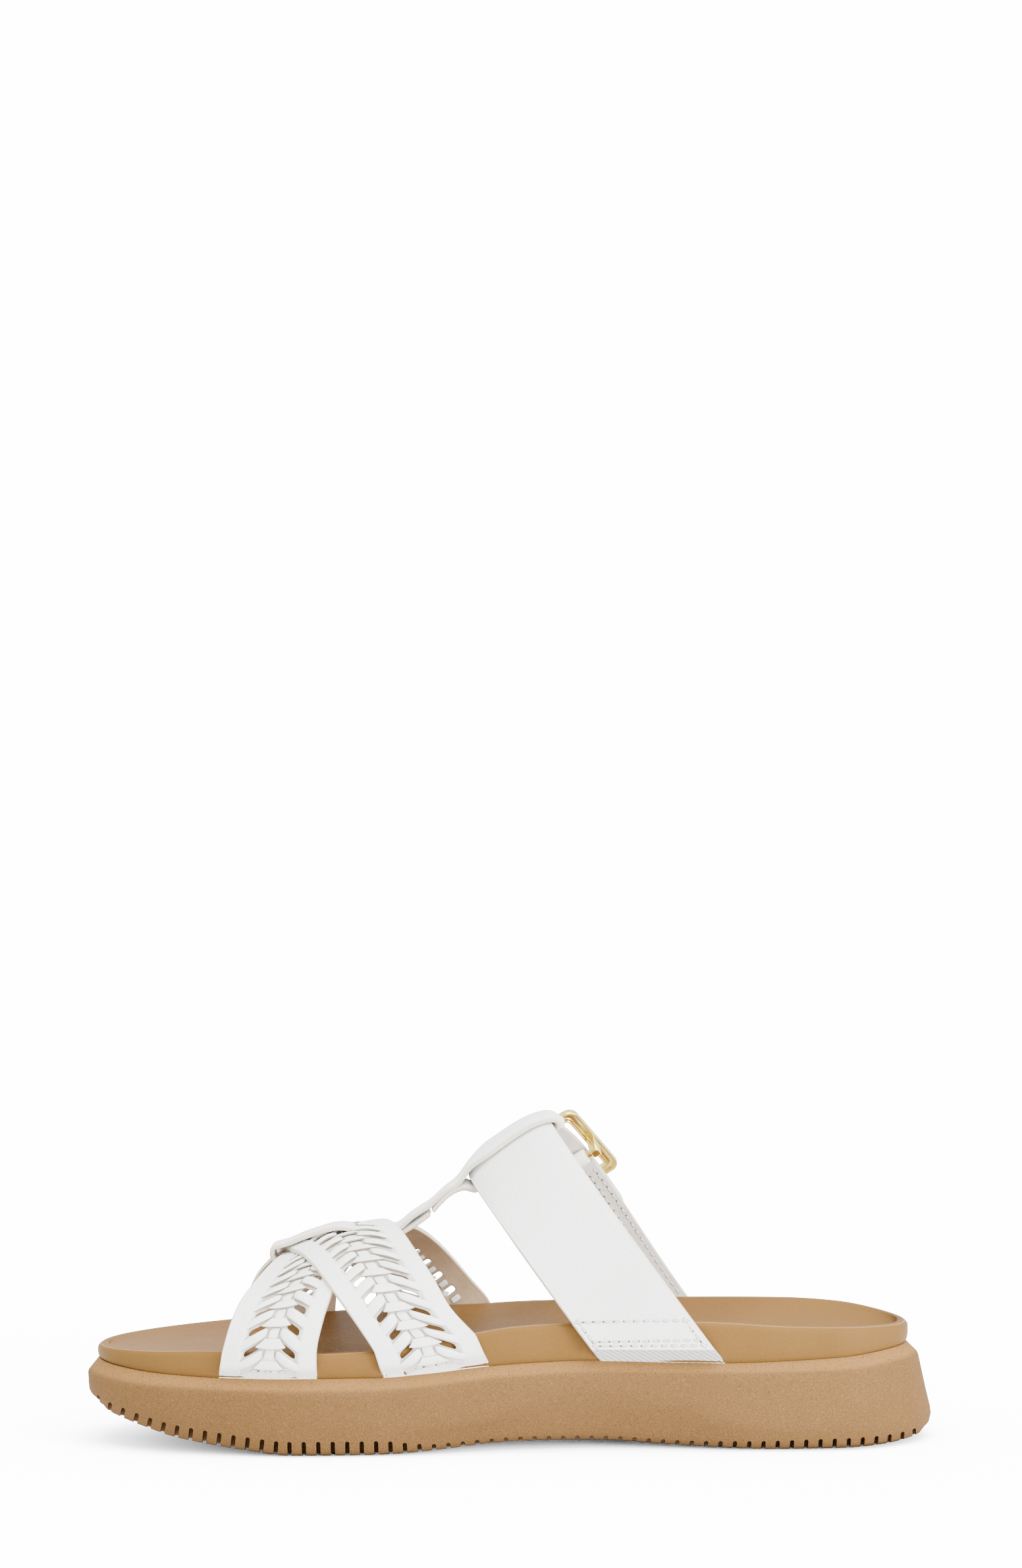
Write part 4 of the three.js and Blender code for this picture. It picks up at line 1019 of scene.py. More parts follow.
def repeat_tree():
    """Geometry Nodes: copies of a unit in a straight row, as one mesh, with its cut edges painted darker as
    raw leather and painted shade.
    """
    tree = bpy.data.node_groups.new("repeat_in_a_row", "GeometryNodeTree")
    sockets = {}
    for name, kind in (("Geometry", "NodeSocketGeometry"), ("Unit", "NodeSocketObject"),
                       ("Count", "NodeSocketInt"), ("Step", "NodeSocketVector")):
        sockets[name] = tree.interface.new_socket(name, in_out="INPUT", socket_type=kind)
    tree.interface.new_socket("Geometry", in_out="OUTPUT", socket_type="NodeSocketGeometry")
    start = tree.nodes.new("NodeGroupInput")
    end = tree.nodes.new("NodeGroupOutput")
    line = tree.nodes.new("GeometryNodeMeshLine")
    info = tree.nodes.new("GeometryNodeObjectInfo")
    place = tree.nodes.new("GeometryNodeInstanceOnPoints")
    real = tree.nodes.new("GeometryNodeRealizeInstances")
    paint = tree.nodes.new("GeometryNodeSetMaterial")
    paint.inputs["Material"].default_value = STRIP
    # The cut sides take the darker raw-edge colour, which is also painted shade along the strip outlines.
    edge_shade = tree.nodes.new("GeometryNodeSetMaterial")
    edge_shade.inputs["Material"].default_value = RAW_EDGE_AND_SHADE
    raw_shaded = tree.nodes.new("GeometryNodeInputNamedAttribute")
    raw_shaded.data_type = "BOOLEAN"
    raw_shaded.inputs["Name"].default_value = "raw_edge"
    link = tree.links.new
    link(start.outputs["Unit"], info.inputs["Object"])
    link(start.outputs["Count"], line.inputs["Count"])
    link(start.outputs["Step"], line.inputs["Offset"])
    link(line.outputs["Mesh"], place.inputs["Points"])
    link(info.outputs["Geometry"], place.inputs["Instance"])
    link(place.outputs["Instances"], real.inputs["Geometry"])
    link(real.outputs["Geometry"], paint.inputs["Geometry"])
    link(paint.outputs["Geometry"], edge_shade.inputs["Geometry"])
    link(raw_shaded.outputs["Attribute"], edge_shade.inputs["Selection"])
    link(edge_shade.outputs["Geometry"], end.inputs["Geometry"])
    return tree, {name: socket.identifier for name, socket in sockets.items()}


def braid(band, unit):
    """The links laid in a row by the tree, then bent onto the band."""
    tree, inputs = repeat_tree()
    row = new_object(f"{band.name}_braid", [], [], [STRIP])
    modifier = row.modifiers.new("links", "NODES")
    modifier.node_group = tree
    modifier[inputs["Unit"]] = unit
    modifier[inputs["Count"]] = UNITS[band.name]
    modifier[inputs["Step"]] = (0, WEAVE_PITCH * MM, 0)
    apply_all(row)
    cage = bmesh.new()
    cage.from_mesh(row.data)
    first = FIRST_UNIT[band.name]
    for vertex in cage.verts:
        c, s, h = vertex.co / MM
        vertex.co = band.point(c, s + first, h) * MM
    gone = [face for face in cage.faces if hidden_by_t(band, face.calc_center_median() / MM)]
    bmesh.ops.delete(cage, geom=gone, context="FACES")
    cage.to_mesh(row.data)
    cage.free()
    row.data.polygons.foreach_set("use_smooth", [True] * len(row.data.polygons))
    row.data.attributes.new("edge_paint", "FLOAT", "POINT")
    return refine(row, 1)


def make_vamp():
    unit = weave_unit()
    bands = [Band(name) for name in ("low", "top")]
    vamp = merge("woven_vamp", [refine(band_wall(band), 1) for band in bands])
    finish_piece(vamp, "vamp", slot="white_leather")
    strips = merge("vamp_strips", [braid(band, unit) for band in bands])
    finish_piece(strips, slot="white_leather")
    bpy.data.objects.remove(unit)


# Instep strap, its gore and the lateral strap share one surface over the foot
def instep_point(share, turn):
    side = -1 if turn < 90 else 1
    down = -turn if turn < 0 else max(turn - 180, 0)
    t = min(180, max(0, turn))
    up = math.sin(math.radians(t))
    base_x = mix(INSTEP_BASE[0], INSTEP_BASE[1], share)
    crest_x = mix(*INSTEP_CREST_X, share)
    crest_z = mix(*INSTEP_CREST_Z, share)
    lean = (base_x - crest_x) / (crest_z - INSTEP_BASE[2])
    ends = []
    for s in (-1, 1):
        extra = GORE_THICKNESS + CLEARANCE if s < 0 else 0
        high = RIM_OVERHANG + 3 * CLEARANCE + extra
        low = CLEARANCE + extra - FOOT_SINK
        share_down = min(1, down / (INSTEP_BASE[2] - SEAT_Z)) if s == side else 0
        ends.append(wall_y(base_x, s) + s * mix(high, low, share_down))
    width = Vector((INSTEP_CREST_X[1] - INSTEP_CREST_X[0], INSTEP_CREST_Z[1] - INSTEP_CREST_Z[0]))
    width.normalize()
    bulge = INSTEP_BULGE * CROWN.read("rise", share) * smooth(t, 20, 72) * (1 - smooth(t, 95, 118))
    sway = INSTEP_SWAY * smooth(t, 92, 120) * (1 - smooth(t, 130, 176))
    return Vector((
        mix(base_x, crest_x, up) + lean * down - width.y * bulge + sway,
        mix(ends[0], ends[1], (1 - math.cos(math.radians(t))) / 2),
        mix(INSTEP_BASE[2], crest_z, up) - down + width.x * bulge))


def instep_normal(share, turn):
    t = min(179, max(1, turn))
    around = instep_point(share, t + 1) - instep_point(share, t - 1)
    along = instep_point(share + 0.05, t) - instep_point(share - 0.05, t)
    return along.cross(around).normalized()


def on_instep(share, turn, out):
    return instep_point(share, turn) + instep_normal(share, turn) * out


def tail_lift(turn):
    return (LATERAL_THICKNESS + 2 * CLEARANCE) * smooth(turn, 98, 127)


def instep_sheet(name, stops, inner_at, outer_at, materials, narrow=None):
    """A strap on the instep surface with rolled edges; narrow gives how much shorter it is at a turn."""
    columns = across_columns(BAND_WIDTH, [-12.5, -10, -7, -3.5, 0, 3.5, 7, 10, 12.5])
    outer, inner = [], []
    for turn in stops:
        squeeze = narrow(turn) if narrow else 1
        row_out, row_in = [], []
        for c, drop in columns:
            share = 0.5 + squeeze * c / BAND_WIDTH
            row_out.append(on_instep(share, turn, outer_at(turn) - 0.9 * drop))
            row_in.append(on_instep(share, turn, inner_at(turn) + 0.3 * drop))
        outer.append(row_out)
        inner.append(row_in)
    points, faces, sides = slab(outer, inner)
    return new_object(name, points, faces, materials, [side % 2 for side in sides],
                      painted_edges(len(points), len(columns), len(stops)))


def make_instep():
    def tip(turn):
        reach = max(0, turn - (TAIL_TURN - 9)) / 9
        return math.sqrt(max(0.02, 1 - reach**2.2))
    stops = [0, 0.25, 0.8] + span(2, TAIL_TURN - 12, 64) + span(TAIL_TURN - 11, TAIL_TURN, 12)
    strap = instep_sheet("instep_body", stops, tail_lift, lambda t: tail_lift(t) + INSTEP_THICKNESS,
                         [WHITE, PALE_AND_SHADE], tip)
    finish_piece(face_out(strap), "instep_strap", slot="white_leather")


def make_gore():
    down = INSTEP_BASE[2] - SEAT_Z + TUCK
    stops = span(-down, 0, 6) + span(0, GORE_TOP, 4)[1:]
    face = -CLEARANCE - GORE_THICKNESS
    gore = instep_sheet("gore_body", stops, lambda t: face, lambda t: -CLEARANCE, [ELASTIC, ELASTIC])
    finish_piece(face_out(gore), "gore", slot="elastic")


def buckle_matrix():
    """The buckle's own frame: X across the strap, Y towards the lateral side, Z away from the foot."""
    def strap_top(turn):
        return on_instep(0.5, turn, tail_lift(turn) + INSTEP_THICKNESS)
    along = (strap_top(BUCKLE_TURN + RAIL_TURN) - strap_top(BUCKLE_TURN - RAIL_TURN)).normalized()
    across = instep_point(1, BUCKLE_TURN) - instep_point(0, BUCKLE_TURN)
    across = (across - along * across.dot(along)).normalized()
    up = across.cross(along)
    matrix = Matrix((across, along, up)).transposed().to_4x4()
    matrix.translation = strap_top(BUCKLE_TURN)
    return matrix


BUCKLE = buckle_matrix()
LOOP_RADIUS = BAR_RADIUS + CLEARANCE + LOOP_WALL
BAR_Z = -INSTEP_THICKNESS - CLEARANCE - LOOP_RADIUS
RAIL_BOTTOM = -0.05
RAIL_TOP = RAIL_BOTTOM + RAIL_THICKNESS


def rounded_path(width, length, radius, steps=7):
    corners = ((1, 1, 0), (-1, 1, 90), (-1, -1, 180), (1, -1, 270))
    path = []
    for sx, sy, start in corners:
        for a in span(start, start + 90, steps):
            path.append(Vector((sx * (width / 2 - radius) + radius * math.cos(math.radians(a)),
                                sy * (length / 2 - radius) + radius * math.sin(math.radians(a)))))
    return path


def rounded_block(size, centre, radius, axis_rows=5):
    """A soft-edged block, as a stack of rounded rectangles."""
    sx, sy, sz = size
    rings = []
    for a in span(-90, 90, 2 * axis_rows):
        inset = radius * (1 - math.cos(math.radians(a)))
        z = math.copysign(sz / 2 - radius, a) + radius * math.sin(math.radians(a)) if a else 0
        ring = rounded_path(sx - 2 * inset, sy - 2 * inset, max(0.05, radius - 0.6 * inset), 3)
        rings.append([Vector((p.x, p.y, z)) + Vector(centre) for p in ring])
    return loft(rings)


def rod(radius, length, centre, sides=20, flare=0.0):
    rings = []
    ends = [(-length / 2, 0.75), (-length / 2 + 0.2, 1)]
    stations = ends + [(x, 1 + flare) for x in span(-length / 2 + 1, length / 2 - 1, 4)]
    stations += [(-x, r) for x, r in ends[::-1]]
    for x, scale in stations:
        rings.append([Vector((x, radius * scale * math.cos(a), radius * scale * math.sin(a)))
                      + Vector(centre) for a in span(0, 2 * math.pi, sides)[:-1]])
    return loft(rings)


def make_buckle():
    """Rails with a domed face and a channel underneath, a boss at each end of the bar, and the bar."""
    outer = rounded_path(BUCKLE_WIDTH, BUCKLE_LENGTH, BUCKLE_CORNER)
    inner = rounded_path(BUCKLE_WIDTH - 2 * SIDE_RAIL, BUCKLE_LENGTH - 2 * CROSS_RAIL, 1.5)
    low, high = RAIL_BOTTOM, RAIL_TOP
    section = ((0.0, low + 0.25), (0.04, low + 0.05), (0.15, low), (0.2, low + 0.12), (0.26, low + 1.35),
               (0.34, low + 1.5), (0.68, low + 1.5), (0.76, low + 1.35), (0.82, low + 0.55),
               (0.88, low + 0.42), (0.97, low + 0.48), (1.0, low + 0.75), (1.0, high - 0.75),
               (0.95, high - 0.3), (0.8, high - 0.06), (0.5, high), (0.2, high - 0.06),
               (0.05, high - 0.3), (0.0, high - 0.75))
    rings = [[Vector((*a.lerp(b, u), z)) for a, b in zip(outer, inner)] for u, z in section]
    count = len(outer)
    points = [p for ring in rings for p in ring]
    faces = []
    for r in range(len(rings)):
        for i in range(count):
            a, b = r * count + i, r * count + (i + 1) % count
            c, d = ((r + 1) % len(rings)) * count + (i + 1) % count, ((r + 1) % len(rings)) * count + i
            faces.append((a, b, c, d))
    parts = [(points, faces)]
    rail_x = (BUCKLE_WIDTH - SIDE_RAIL) / 2
    boss_low = BAR_Z - BAR_RADIUS - 0.5
    boss_height = RAIL_BOTTOM + 1.7 - boss_low
    for side in (-1, 1):
        middle = (side * rail_x, 0, boss_low + boss_height / 2)
        parts.append(rounded_block((3.0, 3.2, boss_height), middle, 0.7))
    parts.append(rod(BAR_RADIUS, 2 * rail_x, (0, 0, BAR_Z)))
    pieces = []
    for i, (p, f) in enumerate(parts):
        piece = face_out(new_object(f"buckle_part_{i}", [BUCKLE @ v for v in p], f, [GOLD]))
        pieces.append(piece)
    pieces[0] = refine(pieces[0], 1)
    buckle = merge("buckle_frame", pieces)
    buckle.data.set_sharp_from_angle(angle=math.radians(40))
    finish_piece(buckle, "buckle", slot="gold_metal")


def catmull(points, share):
    """Centripetal curve through points, by its share of their number."""
    at = (len(points) - 1) * share
    i = min(int(at), len(points) - 2)
    w = at - i
    p1, p2 = points[i], points[i + 1]
    p0 = points[i - 1] if i > 0 else p1 * 2 - p2
    p3 = points[i + 2] if i + 2 < len(points) else p2 * 2 - p1
    d0, d1, d2 = (max((b - a).length ** 0.5, 1e-3) for a, b in ((p0, p1), (p1, p2), (p2, p3)))
    m1 = ((p1 - p0) / d0 - (p2 - p0) / (d0 + d1) + (p2 - p1) / d1) * d1
    m2 = ((p2 - p1) / d1 - (p3 - p1) / (d1 + d2) + (p3 - p2) / d2) * d1
    return (p1 * (2 * w**3 - 3 * w**2 + 1) + m1 * (w**3 - 2 * w**2 + w)
            + p2 * (3 * w**2 - 2 * w**3) + m2 * (w**3 - w**2))


def make_prong():
    """A bent flat bar: hooked under the buckle's bar, up through the strap and over the front rail."""
    hook = BAR_RADIUS + CLEARANCE + PRONG_THICKNESS / 2
    top = RAIL_TOP + CLEARANCE + PRONG_THICKNESS / 2
    rail = -(BUCKLE_LENGTH - CROSS_RAIL) / 2
    knee = 2.4
    route = [Vector(p) for p in (
        (hook, BAR_Z), (0.7 * hook, BAR_Z - 0.7 * hook), (0, BAR_Z - hook), (-0.7 * hook, BAR_Z - 0.7 * hook),
        (-hook, BAR_Z), (-hook - 0.4 * knee, -INSTEP_THICKNESS), (-hook - knee, PRONG_THICKNESS / 4),
        (0.62 * rail, top - 0.4 * PRONG_THICKNESS), (rail, top), (rail - CROSS_RAIL / 2, top))]
    rings = []
    for share in span(0, 1, 56):
        at = catmull(route, share)
        ahead = catmull(route, min(1, share + 0.01)) - catmull(route, max(0, share - 0.01))
        ahead.normalize()
        normal = Vector((-ahead.y, ahead.x))
        end = min(1, 6 * (1 - share) + 0.35, 8 * share + 0.5)
        w, t = 0.5 * PRONG_WIDTH * end, 0.5 * PRONG_THICKNESS * min(1, end + 0.15)
        ring = []
        for a in span(0, 360, 16)[:-1]:
            ca, sa = math.cos(math.radians(a)), math.sin(math.radians(a))
            u = w * math.copysign(abs(ca) ** 0.6, ca)
            v = t * math.copysign(abs(sa) ** 0.6, sa)
            ring.append(BUCKLE @ Vector((u, at.x + normal.x * v, at.y + normal.y * v)))
        rings.append(ring)
    prong = face_out(new_object("prong_body", *loft(rings), [GOLD]))
    finish_piece(prong, "prong", slot="gold_metal")


def make_lateral():
    """The strap from the sole on the lateral side, with its loop round the bar."""
    down = INSTEP_BASE[2] - SEAT_Z + TUCK
    stops = [BUCKLE_TURN + 2.2] + span(BUCKLE_TURN + 4, 180, 24) + [180 + down / 2, 180 + down]
    body = face_out(instep_sheet("lateral_body", stops, lambda t: 0, lambda t: LATERAL_THICKNESS,
                                 [WHITE, PALE_AND_SHADE]))
    pieces = [body]
    half = 0.48 * BAND_WIDTH
    gap = 0.5 * PRONG_WIDTH + CLEARANCE
    for start, end in ((-half, -gap), (gap, half)):
        rings = []
        for x in (start, start + 0.25, mix(start, end, 0.5), end - 0.25, end):
            tight = 0.3 if x in (start, end) else 0
            outer = [(LOOP_RADIUS - tight, a) for a in span(0, 360, 28)[:-1]]
            rings.append([BUCKLE @ Vector((x, r * math.cos(math.radians(a)),
                                           BAR_Z + r * math.sin(math.radians(a)))) for r, a in outer])
        inner_radius = BAR_RADIUS + 0.5 * CLEARANCE
        for x in (end, start):
            rings.append([BUCKLE @ Vector((x, inner_radius * math.cos(math.radians(a)),
                                           BAR_Z + inner_radius * math.sin(math.radians(a))))
                          for a in span(0, 360, 28)[:-1]])
        points, faces = loft(rings + [rings[0]], closed_ends=False)
        pieces.append(face_out(new_object("loop", points, faces, [WHITE])))
    lateral = merge("lateral_body", pieces)
    finish_piece(lateral, "lateral_strap", slot="white_leather")


# T-strap: what each row of its route lies on, where along that, and how high over it
HALF_T = T_THICKNESS / 2
STACK = TOP_LIFT + BAND_THICKNESS + STRIP_RISE
OVER = STACK + CLEARANCE + HALF_T
UNDER = -CLEARANCE - HALF_T
INSIDE = STACK - SKIN_OVER_T - CLEARANCE - HALF_T
RETURN = INSIDE - T_THICKNESS - LAYER_GAP
OVER_INSTEP = INSTEP_THICKNESS + 2 * CLEARANCE + HALF_T
UNDER_INSTEP = -2 * CLEARANCE - HALF_T
T_ROUTE = (
    ("air", 0.4027, 0.7195), ("air", 0.3954, 0.7040), ("air", 0.3821, 0.6790),
    ("vamp", 0.3657, RETURN), ("vamp", 0.3550, RETURN), ("vamp", 0.3400, RETURN),
    ("vamp", 0.3250, mix(RETURN, UNDER, 0.5)), ("vamp", 0.3080, UNDER), ("vamp", 0.2850, UNDER),
    ("vamp", 0.2600, UNDER), ("vamp", 0.2370, UNDER), ("vamp", 0.2270, mix(UNDER, OVER, -0.05)),
    ("vamp", 0.2200, mix(UNDER, OVER, 0.2)), ("vamp", 0.2174, mix(UNDER, OVER, 0.58)),
    ("vamp", 0.2200, mix(UNDER, OVER, 0.92)), ("vamp", 0.2280, OVER), ("vamp", 0.2420, OVER),
    ("vamp", 0.2600, OVER), ("vamp", 0.2780, OVER), ("vamp", 0.2925, OVER),
    ("vamp", 0.3040, mix(OVER, INSIDE, 0.18)), ("vamp", 0.3130, mix(OVER, INSIDE, 0.5)),
    ("vamp", 0.3220, mix(OVER, INSIDE, 0.85)), ("vamp", 0.3320, INSIDE), ("vamp", 0.3440, INSIDE),
    ("vamp", 0.3550, INSIDE), ("vamp", 0.3650, INSIDE), ("air", 0.3821, 0.7087), ("air", 0.3920, 0.7270),
    ("air", 0.4042, 0.7480), ("air", 0.4228, 0.7935), ("air", 0.4369, 0.8260), ("air", 0.4510, 0.8780),
    ("instep", 0.30, OVER_INSTEP), ("instep", 0.46, OVER_INSTEP), ("instep", 0.63, OVER_INSTEP),
    ("instep", 0.80, OVER_INSTEP), ("instep", 0.93, OVER_INSTEP),
    ("instep", 1.03, mix(OVER_INSTEP, UNDER_INSTEP, 0.1)),
    ("instep", 1.065, mix(OVER_INSTEP, UNDER_INSTEP, 0.46)),
    ("instep", 1.03, mix(OVER_INSTEP, UNDER_INSTEP, 0.92)), ("instep", 0.94, UNDER_INSTEP),
    ("instep", 0.75, UNDER_INSTEP), ("instep", 0.55, UNDER_INSTEP), ("instep", 0.35, UNDER_INSTEP),
    ("instep", 0.16, UNDER_INSTEP), ("instep", -0.02, UNDER_INSTEP), ("air", 0.4440, 0.8150),
    ("air", 0.4290, 0.7885), ("air", 0.4170, 0.7600), ("air", 0.4076, 0.7310))


def turn_across(y, medial, lateral):
    return math.degrees(math.acos(1 - 2 * (y - medial) / (lateral - medial)))


def t_row(on, at, height):
    """A row of points across the T-strap."""
    row = []
    for c in span(-1, 1, 4):
        y = c * T_HALF_WIDTH
        x = (at - 0.5) * SOLE_LENGTH
        if on == "vamp":
            turn = turn_across(y, strap_wall_y(x, -1, 0), strap_wall_y(x, 1, 0))
            row.append(tunnel_point(x, turn) + tunnel_normal(x, turn) * height)
        elif on == "instep":
            turn = turn_across(y, instep_point(at, 0).y, instep_point(at, 180).y)
            row.append(on_instep(at, turn, height))
        else:
            droop = T_DROOP if height > T_DROOP_FROM else T_CROWN
            row.append(Vector((x, y, height * INSTEP_CREST_Z[1] - droop * c * c)))
    return row


def make_t_strap():
    rows = [t_row(*row) for row in T_ROUTE]
    lines = [[row[j] for row in rows] for j in range(5)]
    half = T_HALF_WIDTH
    columns = [(-half, 0.34), (-half + 0.08, 0.14), (-half + 0.28, 0.02), (-half + 0.8, 0),
               (-half + 1.0, 0.07), (-half + 1.2, 0)]
    columns += [(c, 0) for c in (-5, -2.5, 0, 2.5, 5)] + [(-c, d) for c, d in columns[::-1]]
    stations = span(0, 1, 330)
    middle = []
    for share in stations:
        across = [catmull(line, share) for line in lines]
        middle.append([catmull(across, 0.5 + c / (2 * half)) for c, _ in columns])
    outer, inner = [], []
    for i, row in enumerate(middle):
        ahead, behind = middle[min(i + 1, len(middle) - 1)], middle[max(i - 1, 0)]
        row_out, row_in = [], []
        for j, p in enumerate(row):
            side = row[min(j + 1, len(row) - 1)] - row[max(j - 1, 0)]
            normal = (ahead[j] - behind[j]).cross(side).normalized()
            thick = HALF_T - columns[j][1]
            row_out.append(p + normal * thick)
            row_in.append(p - normal * thick)
        outer.append(row_out)
        inner.append(row_in)
    points, faces, _ = slab(outer, inner)
    edges = painted_edges(len(points), len(columns))
    strap = face_out(new_object("t_strap_body", points, faces, [WHITE], None, edges))
    finish_piece(strap, "t_strap", slot="white_leather")


# Stitches: a tree sets one stitch, or the holes it goes through, along a path on the leather; the holes and
# the groove under each stitch are dark beads of painted shade
BEYOND_ANY_PATH = 10


def stitch_tree(name, material, shift):
    """Geometry Nodes: flattened beads at an even pitch along a path, starting at shift."""
    tree = bpy.data.node_groups.new(name, "GeometryNodeTree")
    sockets = {}
    for key, kind in (("Path", "NodeSocketGeometry"), ("Pitch", "NodeSocketFloat"),
                      ("Length", "NodeSocketFloat"), ("Radius", "NodeSocketFloat"),
                      ("Height", "NodeSocketFloat")):
        sockets[key] = tree.interface.new_socket(key, in_out="INPUT", socket_type=kind).identifier
    tree.interface.new_socket("Geometry", in_out="OUTPUT", socket_type="NodeSocketGeometry")
    new, link = tree.nodes.new, tree.links.new
    start, end = new("NodeGroupInput"), new("NodeGroupOutput")
    curve = new("GeometryNodeMeshToCurve")
    trim = new("GeometryNodeTrimCurve")
    trim.mode = "LENGTH"
    start_length, end_length = trim.inputs[4], trim.inputs[5]
    start_length.default_value = shift
    end_length.default_value = BEYOND_ANY_PATH
    even = new("GeometryNodeResampleCurve")
    even.mode = "LENGTH"
    ball = new("GeometryNodeMeshUVSphere")
    ball.inputs["Segments"].default_value = 8
    ball.inputs["Rings"].default_value = 6
    ball.inputs["Radius"].default_value = 1
    size = new("ShaderNodeCombineXYZ")
    up = new("GeometryNodeInputNamedAttribute")
    up.data_type = "FLOAT_VECTOR"
    up.inputs["Name"].default_value = "up"
    tangent = new("GeometryNodeInputTangent")
    stand = new("FunctionNodeAlignRotationToVector")
    stand.axis = "Z"
    lie = new("FunctionNodeAlignRotationToVector")
    lie.axis = "X"
    lie.pivot_axis = "Z"
    place = new("GeometryNodeInstanceOnPoints")
    real, paint = new("GeometryNodeRealizeInstances"), new("GeometryNodeSetMaterial")
    soft = new("GeometryNodeSetShadeSmooth")
    paint.inputs["Material"].default_value = material
    link(start.outputs["Path"], curve.inputs["Mesh"])
    link(curve.outputs["Curve"], trim.inputs["Curve"])
    link(trim.outputs["Curve"], even.inputs["Curve"])
    link(start.outputs["Pitch"], even.inputs["Length"])
    link(even.outputs["Curve"], place.inputs["Points"])
    link(ball.outputs["Mesh"], place.inputs["Instance"])
    link(start.outputs["Length"], size.inputs[0])
    link(start.outputs["Radius"], size.inputs[1])
    link(start.outputs["Height"], size.inputs[2])
    link(size.outputs[0], place.inputs["Scale"])
    link(up.outputs["Attribute"], stand.inputs["Vector"])
    link(stand.outputs["Rotation"], lie.inputs["Rotation"])
    link(tangent.outputs["Tangent"], lie.inputs["Vector"])
    link(lie.outputs["Rotation"], place.inputs["Rotation"])
    link(place.outputs["Instances"], real.inputs["Geometry"])
    link(real.outputs["Geometry"], soft.inputs["Geometry"])
    link(soft.outputs["Geometry"], paint.inputs["Geometry"])
    link(paint.outputs["Geometry"], end.inputs["Geometry"])
    return tree, sockets


STITCH_PITCH = 2.9 * MM
BOX_LEFT = 0.055
BOX_RIGHT = 0.935
BOX_LOW = 1.3
BOX_SECOND = 2.7
BOX_HIGH_LEFT = 9.4
BOX_HIGH_RIGHT = 7.9
TAIL_STITCH_START = 96
BAR_BELOW_WEAVE = 0.3
BAR_HALF = 4.5


def stitch_rows():
    """Every stitched line, as points on the leather with the direction out of it."""
    def line(start, end, place, steps):
        return [place(mix(start[0], end[0], t), mix(start[1], end[1], t)) for t in span(0, 1, steps)]

    def on_strap(share, turn):
        return on_instep(share, turn, tail_lift(turn) + INSTEP_THICKNESS), instep_normal(share, turn)

    def on_lateral(share, turn):
        return on_instep(share, turn, LATERAL_THICKNESS), instep_normal(share, turn)

    def inside_lateral(share, turn):
        return on_instep(share, turn, 0), -instep_normal(share, turn)

    low_left, low_right = (BOX_LEFT, BOX_LOW), (BOX_RIGHT, BOX_LOW)
    high_left, high_right = (BOX_LEFT, BOX_HIGH_LEFT), (BOX_RIGHT, BOX_HIGH_RIGHT)
    box = ((low_left, low_right), ((BOX_LEFT + 0.02, BOX_SECOND), (BOX_RIGHT - 0.02, BOX_SECOND)),
           (high_left, high_right), (low_left, high_left), (low_right, high_right))
    rows = [line(start, end, on_strap, 24) for start, end in box]
    rows += [line((0.06, turn), (0.94, turn), on_lateral, 30) for turn in (176, 173.6)]
    rows += [line((share, 131), (share, 172), inside_lateral, 30) for share in (0.95, 0.87)]
    rows += [line((share, TAIL_STITCH_START), (share, TAIL_TURN - 8), on_strap, 24)
             for share in (0.965, 0.035)]
    for name in ("low", "top"):
        band = Band(name)
        s = FIRST_UNIT[name] - BAR_BELOW_WEAVE
        turn = band.turn_at(s)
        rows.append([(band.point(c, s, MARGIN_TOP), tunnel_normal(band.x_at(turn, c), turn))
                     for c in span(-BAR_HALF, BAR_HALF, 8)])
    return rows


def stitch_path(name, row):
    """A line of points on the leather, each with the direction out of it."""
    mesh = bpy.data.meshes.new(name)
    mesh.from_pydata([p * MM for p, _ in row], [(i, i + 1) for i in range(len(row) - 1)], [])
    up = mesh.attributes.new("up", "FLOAT_VECTOR", "POINT")
    up.data.foreach_set("vector", [v for _, n in row for v in n])
    path = bpy.data.objects.new(name, mesh)
    bpy.context.scene.collection.objects.link(path)
    return path


# The grooves and pinholes are flat darker beads of painted shade under and between the threads.
STITCH_PARTS = (
    ("threads", THREAD, 0, {"Length": 0.95, "Radius": 0.26, "Height": 0.3}),
    ("grooves", GROOVE_SHADE, 0, {"Length": 1.25, "Radius": 0.48, "Height": 0.06}),
    ("pinholes", PINHOLE_SHADE, 1.45, {"Length": 0.42, "Radius": 0.34, "Height": 0.16}))


def make_stitches():
    rows = stitch_rows()
    made = []
    for name, material, shift, sizes in STITCH_PARTS:
        tree, sockets = stitch_tree(name, material, shift * MM)
        for k, row in enumerate(rows):
            path = stitch_path(f"{name}_{k}", row)
            modifier = path.modifiers.new("stitches", "NODES")
            modifier.node_group = tree
            modifier[sockets["Pitch"]] = STITCH_PITCH
            for key, size in sizes.items():
                modifier[sockets[key]] = size * MM
            made.append(apply_all(path))
    stitches = merge("stitching", made)
    finish_piece(stitches, slot="white_leather")


# The camera stands level with the strap's middle and looks square at the medial side
CAMERA_BACK = 1250 * MM
CAMERA_HEIGHT = 203.4 * MM
LENS = 91.5


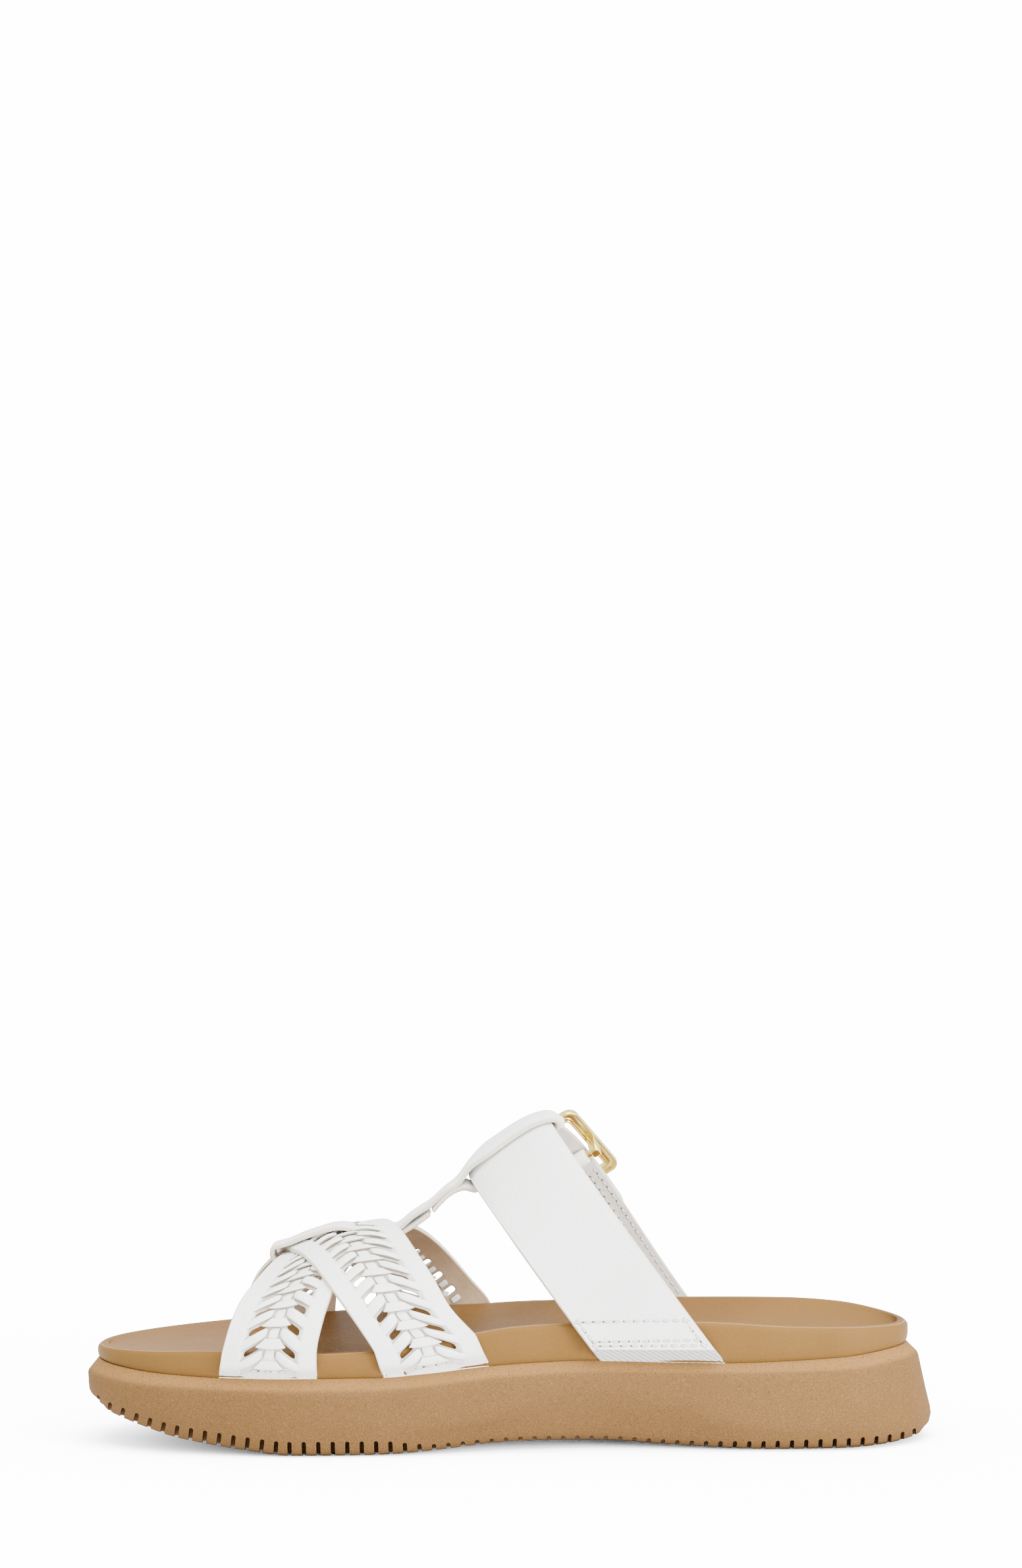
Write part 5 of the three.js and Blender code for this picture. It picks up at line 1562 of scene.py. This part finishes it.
def make_camera():
    data = bpy.data.cameras.new("photo_camera")
    data.lens = LENS
    data.sensor_fit = "VERTICAL"
    data.sensor_height = 36
    camera = bpy.data.objects.new("photo_camera", data)
    camera.location = (0, -CAMERA_BACK, CAMERA_HEIGHT)
    camera.rotation_euler = (math.pi / 2, 0, 0)
    bpy.context.scene.collection.objects.link(camera)
    bpy.context.scene.camera = camera


def make_light(name, place, aim, size, power):
    data = bpy.data.lights.new(name, "AREA")
    data.shape = "RECTANGLE"
    data.size, data.size_y = size
    data.energy = power
    light = bpy.data.objects.new(name, data)
    light.location = place
    light.rotation_euler = (Vector(aim) - Vector(place)).to_track_quat("-Z", "Y").to_euler()
    bpy.context.scene.collection.objects.link(light)


def white_paper():
    paper = Shader("white_paper")
    tone = paper.blend(paper.noise(3), colour(246, 246, 246), colour(248, 248, 248))
    return paper.finish({"Specular IOR Level": 0.1}, Base_Color=tone,
                        Roughness=paper.noise(5) * 0.02 + 0.9)


FLOOR_DROP = 0.4 * MM


def make_floor():
    """A white floor that only shows the shadows on it."""
    bpy.ops.mesh.primitive_plane_add(size=12, location=(0, 0, -FLOOR_DROP))
    floor = bpy.context.object
    floor.name = "floor"
    floor.is_shadow_catcher = True
    floor.data.materials.append(white_paper())
    floor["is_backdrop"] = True


SKY = 2.45
BACKDROP = 15


def make_world():
    """An even white studio, much brighter where the camera sees it than where it lights the shoe."""
    world = bpy.data.worlds.new("studio")
    world.use_nodes = True
    tree = world.node_tree
    background = tree.nodes["Background"]
    background.inputs["Color"].default_value = (1, 1, 1, 1)
    ray = tree.nodes.new("ShaderNodeLightPath")
    strength = tree.nodes.new("ShaderNodeMapRange")
    strength.inputs["To Min"].default_value = SKY
    strength.inputs["To Max"].default_value = BACKDROP
    tree.links.new(ray.outputs["Is Camera Ray"], strength.inputs["Value"])
    tree.links.new(strength.outputs["Result"], background.inputs["Strength"])
    bpy.context.scene.world = world


make_camera()
make_world()
make_floor()
make_light("overhead", (0.05, -0.35, 1.0), (0, 0, 0), (1.0, 0.8), 24)
make_light("front_right", (1.1, -0.9, 0.3), (0.05, 0, 0.04), (0.5, 0.5), 32)
make_sole()
make_footbed()
make_vamp()
make_t_strap()
make_instep()
make_gore()
make_lateral()
make_buckle()
make_prong()
make_stitches()

[[list(corner) for corner in box] for box in (cad_box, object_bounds())]
